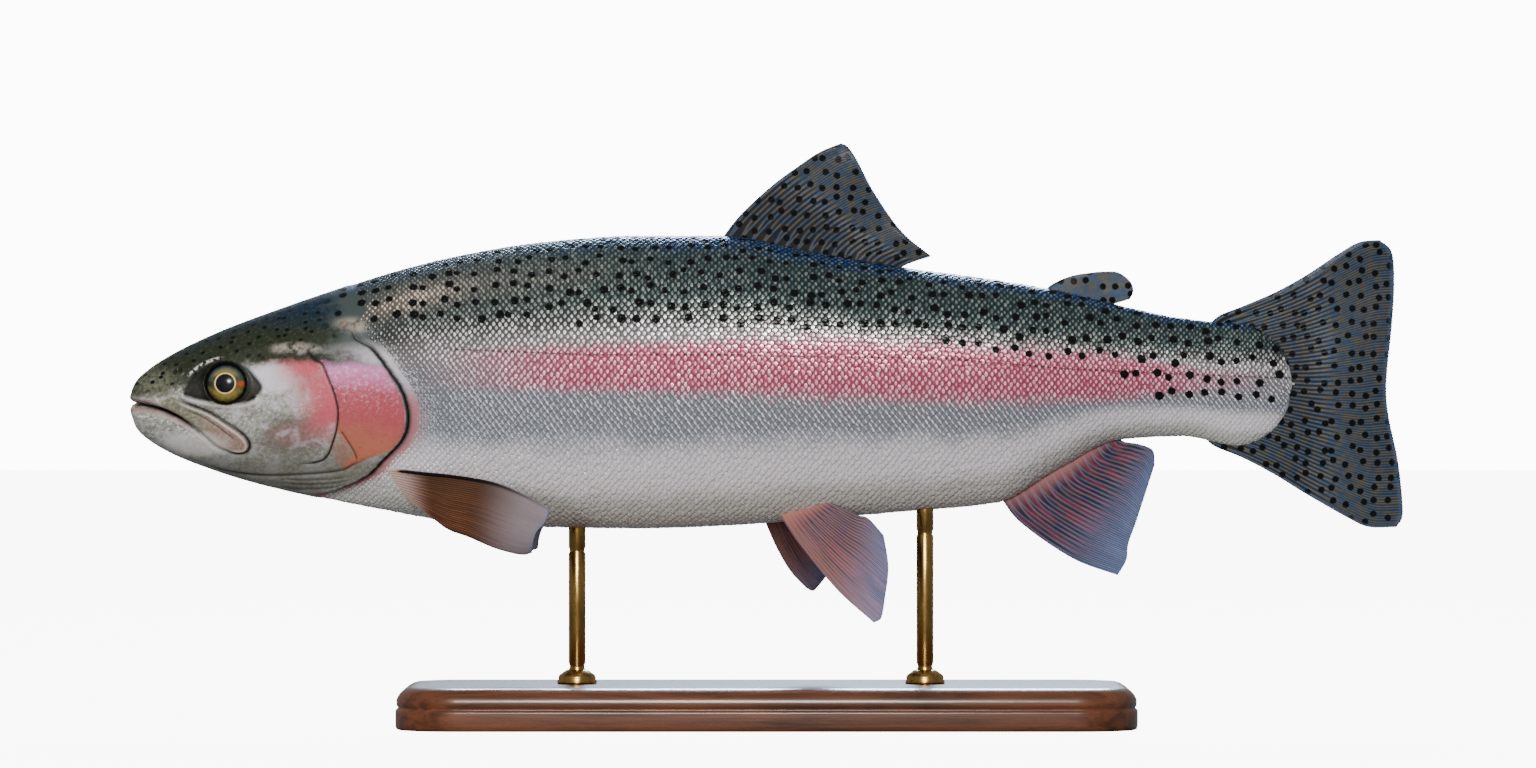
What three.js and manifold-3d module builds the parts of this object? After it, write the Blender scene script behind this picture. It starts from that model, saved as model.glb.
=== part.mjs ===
// A rainbow trout, life size, held still on a display stand. Millimetres, +Z up.
// The head points to -X, the tail to +X, and the fish's left side faces -Y.
// The origin is on the floor, under the middle of the whole model.
import * as THREE from "three";
import { mergeVertices } from "three/addons/utils/BufferGeometryUtils.js";
import Module from "manifold-3d";

const wasm = await Module();
wasm.setup();

// ---- Driving dimensions ------------------------------------------------------------------
const TOTAL_LENGTH = 450; // from the snout to the tip of the tail fin
const FLESH_LENGTH = 411.5; // from the snout to where the scales end on the tail fin
const AXIS_HEIGHT = 121; // height over the floor of the line that heights are measured from
const GAP = 0.3; // left between neighbouring pieces
const RING_FACETS = 24; // around the body
const BODY_RINGS = 36; // along the body

// Places on the fish are (at, up): at is the distance behind the snout, and up is the
// height over the body's axis. The body's sections are told at these stations.
//   top, bottom: the outline's heights        half: half of the width
//   wide: the height where it is widest       crown, keel: how square it is over and under that
const STATIONS = [
  { at: 0, top: -5.6, bottom: -5.6, half: 0, wide: -5.6, crown: 2.1, keel: 2.1 },
  { at: 2, top: 0.9, bottom: -15.3, half: 6.4, wide: -6.6, crown: 2.1, keel: 2.1 },
  { at: 6, top: 4.8, bottom: -19.4, half: 9.6, wide: -7.4, crown: 2.2, keel: 2.1 },
  { at: 14, top: 10.1, bottom: -24.3, half: 12.6, wide: -8, crown: 2.3, keel: 2 },
  { at: 24, top: 15.2, bottom: -28.6, half: 15, wide: -8, crown: 2.4, keel: 1.95 },
  { at: 36, top: 20.4, bottom: -32.7, half: 17.2, wide: -7.5, crown: 2.4, keel: 1.9 },
  { at: 50, top: 25.6, bottom: -36.6, half: 19.5, wide: -7, crown: 2.3, keel: 1.85 },
  { at: 68, top: 31.9, bottom: -40.6, half: 22, wide: -5, crown: 2.2, keel: 1.85 },
  { at: 90, top: 39, bottom: -44.8, half: 24, wide: -2, crown: 2.1, keel: 1.95 },
  { at: 115, top: 45.3, bottom: -49, half: 25.4, wide: 0, crown: 2.1, keel: 2.1 },
  { at: 145, top: 50.2, bottom: -50.7, half: 26.5, wide: 2, crown: 2.1, keel: 2.2 },
  { at: 180, top: 52.6, bottom: -51.2, half: 27, wide: 3, crown: 2.05, keel: 2.2 },
  { at: 209, top: 52.6, bottom: -50.3, half: 26.6, wide: 4, crown: 2, keel: 2.2 },
  { at: 240, top: 47.2, bottom: -48.1, half: 25, wide: 4, crown: 2, keel: 2.15 },
  { at: 272, top: 41.6, bottom: -45.4, half: 22.3, wide: 4, crown: 2, keel: 2.1 },
  { at: 306, top: 37, bottom: -42.2, half: 18.6, wide: 4, crown: 2, keel: 2 },
  { at: 328, top: 33.2, bottom: -30.2, half: 15.2, wide: 3.5, crown: 2, keel: 2 },
  { at: 350, top: 28, bottom: -19.9, half: 11.8, wide: 3, crown: 2, keel: 2 },
  { at: 372, top: 23.5, bottom: -18.7, half: 8.8, wide: 2, crown: 2, keel: 2 },
  { at: 392, top: 21.8, bottom: -22.2, half: 6.2, wide: 0, crown: 2, keel: 2 },
  { at: 411.5, top: 21.8, bottom: -22.2, half: 3.6, wide: 0, crown: 2, keel: 2 },
];
const TAIL_ROUNDING = 22; // length of the rounded end of the flesh, over the tail fin's root

const EYE = { at: 34.7, up: 0.2, long: 14.6, tall: 13.8, deep: 9.5, stands_out: 1.6 };

const GILL_COVER_THICKNESS = 3.2;
const JAW_BONE_THICKNESS = 2.4;
const TRUNK_END = 352; // where the trunk gives way to the tail stalk

const ROD = { radius: 3, in_body: 14, in_base: 8, facets: 12 };
const ROD_PLACES = { stand_rod_front: 158, stand_rod_rear: 281 };
const COLLAR = { radius: 7, height: 5, shoulder: 2 };
const BASE = { length: 260, depth: 104, height: 15, corner: 22, bevel: 3 };

// ---- Outlines on the side of the head, as [at, up] ----------------------------------------
const MOUTH_LINE = [
  [-4, -5.2],
  [1.8, -6],
  [5.1, -7.5],
  [8.2, -7.7],
  [12.2, -8.7],
  [15.8, -10.3],
  [19.8, -12.6],
  [23.8, -15.4],
  [28.5, -19.3],
  [32, -22],
  [35.2, -23.5],
  [39.4, -24.4],
];
const MOUTH_OPENING = { front: 1.2, back: 0.5 }; // how far the jaws stand apart
const JAW_JOINT_LINE = [
  [39.4, -24.4],
  [48.6, -27.4],
  [55, -30.3],
];
const JAW_EDGE_LINE = [
  [55, -32],
  [38.6, -31.2],
  [27.6, -28.8],
  [20.4, -32],
];
const JAW_BONE = [
  [17, -5.6],
  [21.7, -7.6],
  [27.3, -9.5],
  [31.2, -11.6],
  [35.2, -14.2],
  [38.7, -16.5],
  [41.5, -18.9],
  [42.6, -21.1],
  [42.4, -22.9],
  [41, -24],
  [38.2, -24.3],
  [35.2, -23.4],
  [32, -21.9],
  [28.5, -19.2],
  [23.8, -15.3],
  [19.8, -12.5],
  [16.2, -10.4],
];
const GILL_COVER = [
  [65.8, 9.6],
  [73.9, 14.4],
  [83.2, 15.9],
  [91.3, 7.4],
  [97.3, -1.8],
  [99.8, -11.7],
  [98.2, -19.3],
  [93.3, -24.9],
  [84.5, -30.6],
  [76, -32],
  [69.4, -31.2],
  [69.6, -26],
  [73.1, -20],
  [74.1, -10],
  [72.3, -0.6],
];
const THROAT_TOP_LINE = [
  [20.4, -32],
  [27.6, -28.8],
  [38.6, -31.2],
  [55, -32],
  [66, -33],
  [76, -32.8],
  [84.2, -31.4],
];
const THROAT_BACK = [72, -46];
const NAPE_LINE = [
  [66, 42],
  [76, 27],
  [83.2, 15.9],
  [79, 0],
  [79, -20],
  [84.2, -31.4],
  [72, -46],
];

// ---- Fins ---------------------------------------------------------------------------------
// Each fin is a sheet between four edges. Its corners are the front and back of the root and
// the tips of the first and last rays; a bulge is how far an edge's middle leaves the straight
// line, as [at, up]. Round is the share of its length that the first and the last ray lose to
// the fin's rounded corners. Out is how far root and tips stand from the fish's mid plane, for
// the paired fins.
const DORSAL_FIN = {
  rays: 10,
  root_front: [206.5, 48.5],
  root_back: [270, 39.5],
  tip_front: [254.8, 88.4],
  tip_back: [286, 45.2],
  lead_bulge: [-2, 3.2],
  trail_bulge: [0, 0.6],
  root_bulge: [0, 1],
  edge_bulge: [-4.8, -2.6],
  round: 0.08,
};
const ADIPOSE_FIN = {
  rays: 3,
  root_front: [322, 31],
  root_back: [344.5, 25.5],
  tip_front: [347, 40],
  tip_back: [354, 30.4],
  lead_bulge: [-1.5, 2.6],
  trail_bulge: [0.5, 1],
  root_bulge: [0, 0],
  edge_bulge: [3.5, 1.4],
  round: 0.1,
};
const TAIL_FIN = {
  rays: 13,
  root_front: [380, 20.8],
  root_back: [380, -19],
  tip_front: [449, 56],
  tip_back: [453, -56.6],
  lead_bulge: [0, 0.4],
  trail_bulge: [-0.4, -1.8],
  root_bulge: [16, 0],
  edge_bulge: [-4.2, 0],
  round: 0.08,
};
const ANAL_FIN = {
  rays: 9,
  root_front: [305, -38.5],
  root_back: [350.5, -17.5],
  tip_front: [352.8, -69.8],
  tip_back: [363.6, -23.8],
  lead_bulge: [-2.4, -3.5],
  trail_bulge: [0, -0.4],
  root_bulge: [0, 1],
  edge_bulge: [-2.6, 0],
  round: 0.055,
};
const PECTORAL_FIN = {
  rays: 10,
  root_front: [94, -29.4],
  root_back: [100.6, -41.8],
  tip_front: [149.4, -43.6],
  tip_back: [142, -61.2],
  lead_bulge: [1, 3.4],
  trail_bulge: [-1.6, -2],
  root_bulge: [-1.5, 0],
  edge_bulge: [-1.6, 0.6],
  round: 0.06,
  out: { root_front: 19, root_back: 12.5, tip_front: 43, tip_back: 38, bow: 3 },
};
const PELVIC_FIN_LEFT = {
  rays: 8,
  root_front: [229, -46],
  root_back: [245, -42.5],
  tip_front: [266, -86.4],
  tip_back: [265.6, -48.8],
  lead_bulge: [-2, -1],
  trail_bulge: [0, 0.6],
  root_bulge: [0, 0],
  edge_bulge: [1.4, 1],
  round: 0.06,
  out: { root_front: 7.5, root_back: 11, tip_front: 24, tip_back: 19, bow: 2 },
};
// The right pelvic fin is swung forward and further out than the left one.
const PELVIC_FIN_RIGHT = {
  ...PELVIC_FIN_LEFT,
  root_front: [225, -46.5],
  tip_front: [242.6, -75.8],
  tip_back: [252, -50],
  lead_bulge: [-5.4, 0],
  edge_bulge: [2, -0.5],
  out: { root_front: 7.5, root_back: 11, tip_front: 36, tip_back: 30, bow: 2 },
};
const FIN_ROWS = 4; // from root to tips
const FIN_THICKNESS = { root: 2.6, edge: 0.7, ray: 0.35 };

// ---- Small tools --------------------------------------------------------------------------
const toX = (at) => at - TOTAL_LENGTH / 2;
const toZ = (up) => up + AXIS_HEIGHT;

// A curve through the stations that never overshoots them. It runs over the square root of
// the distance from the snout, so that the snout comes out round.
function throughStations(field) {
  const xs = STATIONS.map((s) => Math.sqrt(s.at));
  const ys = STATIONS.map((s) => s[field]);
  const rise = xs.slice(1).map((x, i) => (ys[i + 1] - ys[i]) / (x - xs[i]));
  const slope = ys.map((_, i) => {
    if (i === 0) return rise[0];
    if (i === rise.length) return rise[i - 1];
    const same = rise[i - 1] * rise[i] > 0;
    return same ? (2 * rise[i - 1] * rise[i]) / (rise[i - 1] + rise[i]) : 0;
  });
  return (at) => {
    const x = Math.sqrt(Math.min(Math.max(at, 0), FLESH_LENGTH));
    const i = Math.max(0, Math.min(xs.findIndex((k) => k >= x) - 1, rise.length - 1));
    const step = xs[i + 1] - xs[i];
    const t = (x - xs[i]) / step;
    const [a, b] = [t * t * (3 - 2 * t), t * (1 - t)];
    const bend = step * b * ((1 - t) * slope[i] - t * slope[i + 1]);
    return ys[i] * (1 - a) + ys[i + 1] * a + bend;
  };
}

const FIELDS = ["top", "bottom", "half", "wide", "crown", "keel"];
const curves = Object.fromEntries(FIELDS.map((field) => [field, throughStations(field)]));

// Everything about the body's section at a distance from the snout.
function sectionAt(at) {
  const s = Object.fromEntries(FIELDS.map((field) => [field, curves[field](at)]));
  const past = Math.max(0, at - (FLESH_LENGTH - TAIL_ROUNDING)) / TAIL_ROUNDING;
  const close = Math.sqrt(Math.max(0, 1 - past * past));
  s.top = s.wide + (s.top - s.wide) * close;
  s.bottom = s.wide + (s.bottom - s.wide) * close;
  s.half *= 0.55 + 0.45 * close;
  return s;
}

function toSolid(geometry) {
  const bare = geometry.clone();
  bare.deleteAttribute("normal");
  bare.deleteAttribute("uv");
  const merged = mergeVertices(bare, 1e-4);
  return new wasm.Manifold(
    new wasm.Mesh({
      numProp: 3,
      vertProperties: new Float32Array(merged.attributes.position.array),
      triVerts: new Uint32Array(merged.index.array),
    }),
  );
}

function toGeometry(solid) {
  const mesh = solid.getMesh();
  const geometry = new THREE.BufferGeometry();
  geometry.setAttribute("position", new THREE.BufferAttribute(mesh.vertProperties, 3));
  geometry.setIndex(new THREE.BufferAttribute(mesh.triVerts, 1));
  const flat = geometry.toNonIndexed();
  flat.computeVertexNormals();
  return flat;
}

// A flat outline of [at, up] places, pushed across the fish from y0 to y1.
function prism(places, y0, y1) {
  const shape = new THREE.Shape(places.map(([at, up]) => new THREE.Vector2(toX(at), toZ(up))));
  const geometry = new THREE.ExtrudeGeometry(shape, { depth: y1 - y0, bevelEnabled: false });
  geometry.rotateX(Math.PI / 2);
  geometry.translate(0, y1, 0);
  return toSolid(geometry);
}

// A closed outline moved out by a distance all round, its corners kept sharp.
function grown(outline, distance) {
  const round = THREE.ShapeUtils.isClockWise(outline.map(([at, up]) => ({ x: at, y: up })));
  const turn = round ? 1 : -1;
  return outline.map(([at, up], i) => {
    const before = outline.at(i - 1);
    const after = outline[(i + 1) % outline.length];
    const one = new THREE.Vector2(before[1] - up, at - before[0]).normalize();
    const two = new THREE.Vector2(up - after[1], after[0] - at).normalize();
    const far = (turn * distance) / (1 + one.dot(two));
    const out = one.add(two).multiplyScalar(far);
    return [at + out.x, up + out.y];
  });
}

const smooth = (outline, closed, count) =>
  new THREE.CatmullRomCurve3(
    outline.map(([at, up]) => new THREE.Vector3(at, up, 0)),
    closed,
    "centripetal",
  )
    .getPoints(count)
    .slice(closed ? 1 : 0)
    .map((p) => [p.x, p.y]);

// ---- The body as one solid ----------------------------------------------------------------
// A sphere's rings become the body's sections and its poles the snout and the tail's root.
// Grow makes the whole body that much larger, or smaller if it is negative.
function bodySolid(grow) {
  const geometry = new THREE.SphereGeometry(1, RING_FACETS, BODY_RINGS);
  const place = geometry.attributes.position;
  const power = (x, squareness) => Math.sign(x) * Math.abs(x) ** (2 / squareness);
  for (let ring = 0; ring <= BODY_RINGS; ring++) {
    const at = (FLESH_LENGTH / 2) * (1 - Math.cos((Math.PI * ring) / BODY_RINGS));
    const s = sectionAt(at);
    const tip = ring === 0 || ring === BODY_RINGS;
    const half = tip ? 0 : s.half + grow;
    for (let i = 0; i <= RING_FACETS; i++) {
      const angle = (2 * Math.PI * i) / RING_FACETS;
      const [side, rise] = [Math.sin(angle), Math.cos(angle)];
      const squareness = rise > 0 ? s.crown : s.keel;
      const reach = rise > 0 ? s.top + grow - s.wide : s.wide - s.bottom + grow;
      place.setXYZ(
        ring * (RING_FACETS + 1) + i,
        toX(at + grow * (2 * (at / FLESH_LENGTH) - 1)),
        half * power(side, squareness),
        toZ(s.wide + (tip ? 0 : reach * power(rise, squareness))),
      );
    }
  }
  return toSolid(geometry);
}

const FAR = 60; // past the fish's side
const body = bodySolid(0);
const roomForBody = bodySolid(GAP);
const sides = { left: -1, right: 1 };

// The outer layer of the body inside an outline, on one side of the fish.
function platePair(outline, thickness) {
  const whole = smooth(outline, true, 24);
  const inside = bodySolid(-thickness);
  const insideRoom = bodySolid(-thickness - GAP);
  const plates = {};
  const rooms = [];
  for (const [side, sign] of Object.entries(sides)) {
    const [y0, y1] = sign < 0 ? [-FAR, -2] : [2, FAR];
    plates[side] = body.intersect(prism(whole, y0, y1)).subtract(inside);
    rooms.push(prism(grown(whole, GAP), y0, y1).subtract(insideRoom));
  }
  return { plates, room: rooms[0].add(rooms[1]) };
}

const biggest = (solid) => solid.decompose().sort((a, b) => b.volume() - a.volume())[0];

// ---- Head ---------------------------------------------------------------------------------
// Half of the body's width at a place on its side.
function halfWidthAt(at, up) {
  const s = sectionAt(at);
  const [reach, squareness] = up > s.wide ? [s.top - s.wide, s.crown] : [s.wide - s.bottom, s.keel];
  const rise = Math.min(1, Math.abs(up - s.wide) / reach);
  return s.half * (1 - rise ** squareness) ** (1 / squareness);
}

function eyeSolid(sign, grow) {
  const geometry = new THREE.SphereGeometry(1, 14, 8);
  geometry.rotateX(Math.PI / 2);
  geometry.scale(EYE.long / 2 + grow, EYE.deep / 2 + grow, EYE.tall / 2 + grow);
  const out = halfWidthAt(EYE.at, EYE.up) + EYE.stands_out - EYE.deep / 2;
  geometry.translate(toX(EYE.at), sign * out, toZ(EYE.up));
  return toSolid(geometry);
}

const gillCovers = platePair(GILL_COVER, GILL_COVER_THICKNESS);
const jawBones = platePair(JAW_BONE, JAW_BONE_THICKNESS);

const mouth = smooth(MOUTH_LINE, false, 11);
const lowerLip = mouth.map(([at, up], i) => {
  const back = i / (mouth.length - 1);
  return [at, up - MOUTH_OPENING.front * (1 - back) - MOUTH_OPENING.back * back];
});

let flesh = body
  .subtract(gillCovers.room)
  .subtract(jawBones.room)
  .subtract(prism([...mouth, ...lowerLip.toReversed()], -FAR, FAR))
  .subtract(eyeSolid(-1, GAP))
  .subtract(eyeSolid(1, GAP));

// Takes the flesh inside an outline away as a piece of its own, with a thin cut round it.
function carve(outline) {
  const piece = flesh.intersect(prism(outline, -FAR, FAR));
  flesh = flesh.subtract(prism(grown(outline, GAP), -FAR, FAR));
  return piece;
}

const lowerJaw = carve([...mouth, ...JAW_JOINT_LINE.slice(1), ...JAW_EDGE_LINE, [-4, -40]]);
const throat = carve([...THROAT_TOP_LINE, THROAT_BACK, [66, -60], [12, -60], [12, -36]]);
const head = carve([...NAPE_LINE, [66, -60], [-20, -60], [-20, 60]]);

// ---- Fins ---------------------------------------------------------------------------------
// A box's width becomes the way across the rays, its height the way from root to tips.
// With odd columns on the rays and even ones on the webs, the rays stand out as ridges.
function finSolid(fin, sign) {
  const columns = 2 * fin.rays - 1;
  const geometry = new THREE.BoxGeometry(1, 1, 1, columns + 1, FIN_ROWS, 1);
  const place = geometry.attributes.position;
  const mix = (a, b, t) => a.map((x, k) => x + (b[k] - x) * t);
  const edge = (a, b, bulge, t) => mix(a, b, t).map((x, k) => x + bulge[k] * 4 * t * (1 - t));
  const out = fin.out ?? { root_front: 0, root_back: 0, tip_front: 0, tip_back: 0, bow: 0 };
  // The box is turned round where the rays' order and their growth would put it inside out.
  const rootRun = [0, 1].map((k) => fin.root_back[k] - fin.root_front[k]);
  const growth = [0, 1].map((k) => fin.tip_front[k] - fin.root_front[k]);
  const turn = Math.sign(rootRun[1] * growth[0] - rootRun[0] * growth[1]);
  for (let i = 0; i < place.count; i++) {
    const across = place.getX(i) + 0.5;
    const along = place.getY(i) + 0.5;
    const face = turn * Math.sign(place.getZ(i));
    const root = edge(fin.root_front, fin.root_back, fin.root_bulge, across);
    const lead = edge(fin.root_front, fin.tip_front, fin.lead_bulge, along);
    const trail = edge(fin.root_back, fin.tip_back, fin.trail_bulge, along);
    const tips = edge(fin.tip_front, fin.tip_back, fin.edge_bulge, across);
    const corners = mix(
      mix(fin.root_front, fin.root_back, across),
      mix(fin.tip_front, fin.tip_back, across),
      along,
    );
    const sheet = mix(root, tips, along).map(
      (x, k) => x + (lead[k] + (trail[k] - lead[k]) * across) - corners[k],
    );
    // The tips near the fin's corners draw back, which rounds the corners.
    const corner = Math.abs(2 * across - 1) ** 6 * along ** 3;
    const [at, up] = mix(sheet, root, corner * fin.round);
    const ray = Math.round(across * (columns + 1)) % 2 ? FIN_THICKNESS.ray : 0;
    const rim = Math.min(across, 1 - across) < 1e-6 ? 0 : 1;
    const thick = FIN_THICKNESS.root + (FIN_THICKNESS.edge - FIN_THICKNESS.root) * along ** 0.5;
    const half = (rim ? thick + ray * (1 - 0.6 * along) : FIN_THICKNESS.edge) / 2;
    const stand =
      (out.root_front * (1 - across) + out.root_back * across) * (1 - along) +
      (out.tip_front * (1 - across) + out.tip_back * across) * along +
      out.bow * 4 * along * (1 - along);
    place.setXYZ(i, toX(at), sign * stand + face * half, toZ(up));
  }
  return toSolid(geometry);
}

// ---- Stand --------------------------------------------------------------------------------
function rodSolid(at, radius, from, to) {
  const geometry = new THREE.CylinderGeometry(radius, radius, to - from, ROD.facets);
  geometry.rotateX(Math.PI / 2);
  geometry.translate(toX(at), 0, (from + to) / 2);
  return toSolid(geometry);
}

function collarSolid(at) {
  const bore = ROD.radius + GAP;
  const foot = BASE.height + GAP;
  const profile = [
    [bore, foot],
    [COLLAR.radius, foot],
    [COLLAR.radius, foot + COLLAR.shoulder],
    [bore + 1.2, foot + COLLAR.height],
    [bore, foot + COLLAR.height],
    [bore, foot],
  ].map(([r, z]) => new THREE.Vector2(r, z));
  const geometry = new THREE.LatheGeometry(profile, ROD.facets);
  geometry.rotateX(Math.PI / 2);
  geometry.translate(toX(at), 0, 0);
  return toSolid(geometry);
}

function baseSolid() {
  const [x, y, r] = [BASE.length / 2 - BASE.bevel, BASE.depth / 2 - BASE.bevel, BASE.corner];
  const shape = new THREE.Shape();
  shape.absarc(x - r, y - r, r, 0, Math.PI / 2);
  shape.absarc(r - x, y - r, r, Math.PI / 2, Math.PI);
  shape.absarc(r - x, r - y, r, Math.PI, 1.5 * Math.PI);
  shape.absarc(x - r, r - y, r, 1.5 * Math.PI, 2 * Math.PI);
  const geometry = new THREE.ExtrudeGeometry(shape, {
    depth: BASE.height - 2 * BASE.bevel,
    bevelThickness: BASE.bevel,
    bevelSize: BASE.bevel,
    bevelSegments: 2,
    curveSegments: 4,
  });
  geometry.translate(0, 0, BASE.bevel);
  return toSolid(geometry);
}

// ---- The model ----------------------------------------------------------------------------
const COLOURS = {
  back: { color: 0x3f4a3f, roughness: 0.35, metalness: 0.1 },
  flank: { color: 0xa9b0ad, roughness: 0.3, metalness: 0.35 },
  gill: { color: 0xb9838a, roughness: 0.3, metalness: 0.25 },
  jaw: { color: 0x9c9f90, roughness: 0.35, metalness: 0.1 },
  eye: { color: 0x2b3026, roughness: 0.05, metalness: 0 },
  spotted_fin: { color: 0x6e7884, roughness: 0.4, metalness: 0 },
  plain_fin: { color: 0x93848a, roughness: 0.4, metalness: 0 },
  wood: { color: 0x3d261a, roughness: 0.45, metalness: 0 },
  brass: { color: 0xb08d57, roughness: 0.3, metalness: 1 },
};
const materials = Object.fromEntries(
  Object.entries(COLOURS).map(([name, look]) => [name, new THREE.MeshStandardMaterial(look)]),
);

const trout = new THREE.Group();
function add(name, solid, material) {
  const mesh = new THREE.Mesh(toGeometry(solid), materials[material]);
  mesh.name = name;
  trout.add(mesh);
}

for (const at of Object.values(ROD_PLACES)) {
  const top = toZ(sectionAt(at).bottom) + ROD.in_body + GAP;
  flesh = flesh.subtract(rodSolid(at, ROD.radius + GAP, 0, top));
}
const tailStalk = carve([
  [TRUNK_END, 60],
  [TRUNK_END, -60],
  [500, -60],
  [500, 60],
]);

add("head", biggest(head), "back");
add("lower_jaw", biggest(lowerJaw), "jaw");
add("throat", biggest(throat), "jaw");
add("trunk", biggest(flesh), "flank");
add("tail_stalk", biggest(tailStalk), "flank");
for (const [side, sign] of Object.entries(sides)) {
  add(`gill_cover_${side}`, biggest(gillCovers.plates[side]), "gill");
  add(`upper_jaw_bone_${side}`, biggest(jawBones.plates[side]), "jaw");
  add(`eye_${side}`, eyeSolid(sign, 0), "eye");
  const pectoral = finSolid(PECTORAL_FIN, sign).subtract(roomForBody);
  add(`pectoral_fin_${side}`, biggest(pectoral), "plain_fin");
  const pelvic = finSolid(sign < 0 ? PELVIC_FIN_LEFT : PELVIC_FIN_RIGHT, sign);
  add(`pelvic_fin_${side}`, biggest(pelvic.subtract(roomForBody)), "plain_fin");
}
add("dorsal_fin", biggest(finSolid(DORSAL_FIN, 1).subtract(roomForBody)), "spotted_fin");
add("adipose_fin", biggest(finSolid(ADIPOSE_FIN, 1).subtract(roomForBody)), "spotted_fin");
add("anal_fin", biggest(finSolid(ANAL_FIN, 1).subtract(roomForBody)), "plain_fin");
add("tail_fin", biggest(finSolid(TAIL_FIN, 1).subtract(roomForBody)), "spotted_fin");

let base = baseSolid();
for (const [name, at] of Object.entries(ROD_PLACES)) {
  const foot = BASE.height - ROD.in_base;
  add(name, rodSolid(at, ROD.radius, foot, toZ(sectionAt(at).bottom) + ROD.in_body), "brass");
  add(name.replace("rod", "collar"), collarSolid(at), "brass");
  base = base.subtract(rodSolid(at, ROD.radius + GAP, foot - GAP, BASE.height + 1));
}
add("stand_base", base, "wood");

export default trout;
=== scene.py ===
"""A life-size rainbow trout on a display stand: skin, scales, fins, eyes, stand and stage."""
import math

import bpy
import numpy as np
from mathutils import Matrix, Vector


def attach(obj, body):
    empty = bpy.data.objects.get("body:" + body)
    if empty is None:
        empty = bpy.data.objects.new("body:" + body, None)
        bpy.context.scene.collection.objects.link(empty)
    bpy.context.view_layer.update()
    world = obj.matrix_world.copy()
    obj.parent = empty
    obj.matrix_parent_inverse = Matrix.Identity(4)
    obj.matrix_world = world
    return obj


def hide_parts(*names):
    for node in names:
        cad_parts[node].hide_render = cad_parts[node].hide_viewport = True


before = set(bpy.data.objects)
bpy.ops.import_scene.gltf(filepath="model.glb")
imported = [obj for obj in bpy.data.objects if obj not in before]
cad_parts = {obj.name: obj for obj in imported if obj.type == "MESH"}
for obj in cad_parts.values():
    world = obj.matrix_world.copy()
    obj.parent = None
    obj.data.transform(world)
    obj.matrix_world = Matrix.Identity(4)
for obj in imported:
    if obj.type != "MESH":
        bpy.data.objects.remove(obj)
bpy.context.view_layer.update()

bl_info = {
    "name": "Rainbow Trout Display Model",
    "version": (1, 0, 0),
    "blender": (4, 5, 0),
    "location": "View3D > Sidebar > Trout",
    "description": "Builds a rainbow trout with modelled scales and fin rays on a display stand",
    "category": "Add Mesh",
}

MM = 0.001

# ---- The fish's own measures, in millimetres ----------------------------------------------
# Places are told as at, the distance behind the snout, up, the height over the body's axis,
# and across, the distance from the mid plane, which is negative on the fish's left side.
FISH_LENGTH = 450.0
FLESH_LENGTH = 411.5
AXIS_HEIGHT = 121.0
# Marks on the sides are told as they fall on a side view drawn from this far away.
VIEW_DISTANCE = 3017.0
VIEW_CENTRE = 225.5

# The body's sections: at, the outline's top and bottom, half of the width, the height where
# it is widest, and how square it is over and under that height.
STATIONS = np.array([
    (0, -5.6, -5.6, 0, -5.6, 2.1, 2.1),
    (2, 0.9, -15.3, 6.4, -6.6, 2.1, 2.1),
    (6, 4.8, -19.4, 9.6, -7.4, 2.2, 2.1),
    (14, 10.1, -24.3, 12.6, -8, 2.3, 2),
    (24, 15.2, -28.6, 15, -8, 2.4, 1.95),
    (36, 20.4, -32.7, 17.2, -7.5, 2.4, 1.9),
    (50, 25.6, -36.6, 19.5, -7, 2.3, 1.85),
    (68, 31.9, -40.6, 22, -5, 2.2, 1.85),
    (90, 39, -44.8, 24, -2, 2.1, 1.95),
    (115, 45.3, -49, 25.4, 0, 2.1, 2.1),
    (145, 50.2, -50.7, 26.5, 2, 2.1, 2.2),
    (180, 52.6, -51.2, 27, 3, 2.05, 2.2),
    (209, 52.6, -50.3, 26.6, 4, 2, 2.2),
    (240, 47.2, -48.1, 25, 4, 2, 2.15),
    (272, 41.6, -45.4, 22.3, 4, 2, 2.1),
    (306, 37, -42.2, 18.6, 4, 2, 2),
    (328, 33.2, -30.2, 15.2, 3.5, 2, 2),
    (350, 28, -19.9, 11.8, 3, 2, 2),
    (372, 23.5, -18.7, 8.8, 2, 2, 2),
    (392, 21.8, -22.2, 6.2, 0, 2, 2),
    (411.5, 21.8, -22.2, 3.6, 0, 2, 2),
])
TOP, BOTTOM, HALF, WIDE, CROWN, KEEL = range(1, 7)
TAIL_ROUNDING = 22.0
LATERAL_LINE = [(0, -3), (60, 8), (96, 13), (163, 10.3), (215, 10.3), (245, 9.6), (286, 9.2),
                (330, 5.4), (362, 3.9), (372, 3.5), (411.5, 2)]
# The pink band's middle and half of its height, along the fish.
BAND_MIDDLE = [(96, 5), (160, 5.5), (215, 6), (245, 5.6), (300, 3.2), (350, 2.2), (380, 1.4),
               (411.5, 1)]
BAND_HALF = [(96, 6), (160, 7.4), (215, 9), (245, 9.8), (300, 9.4), (345, 7.6), (380, 3.4),
             (411.5, 2.4)]

EYE = {"at": 33.7, "up": 0.2, "radius": 7.2, "wide": 1.03}

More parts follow.
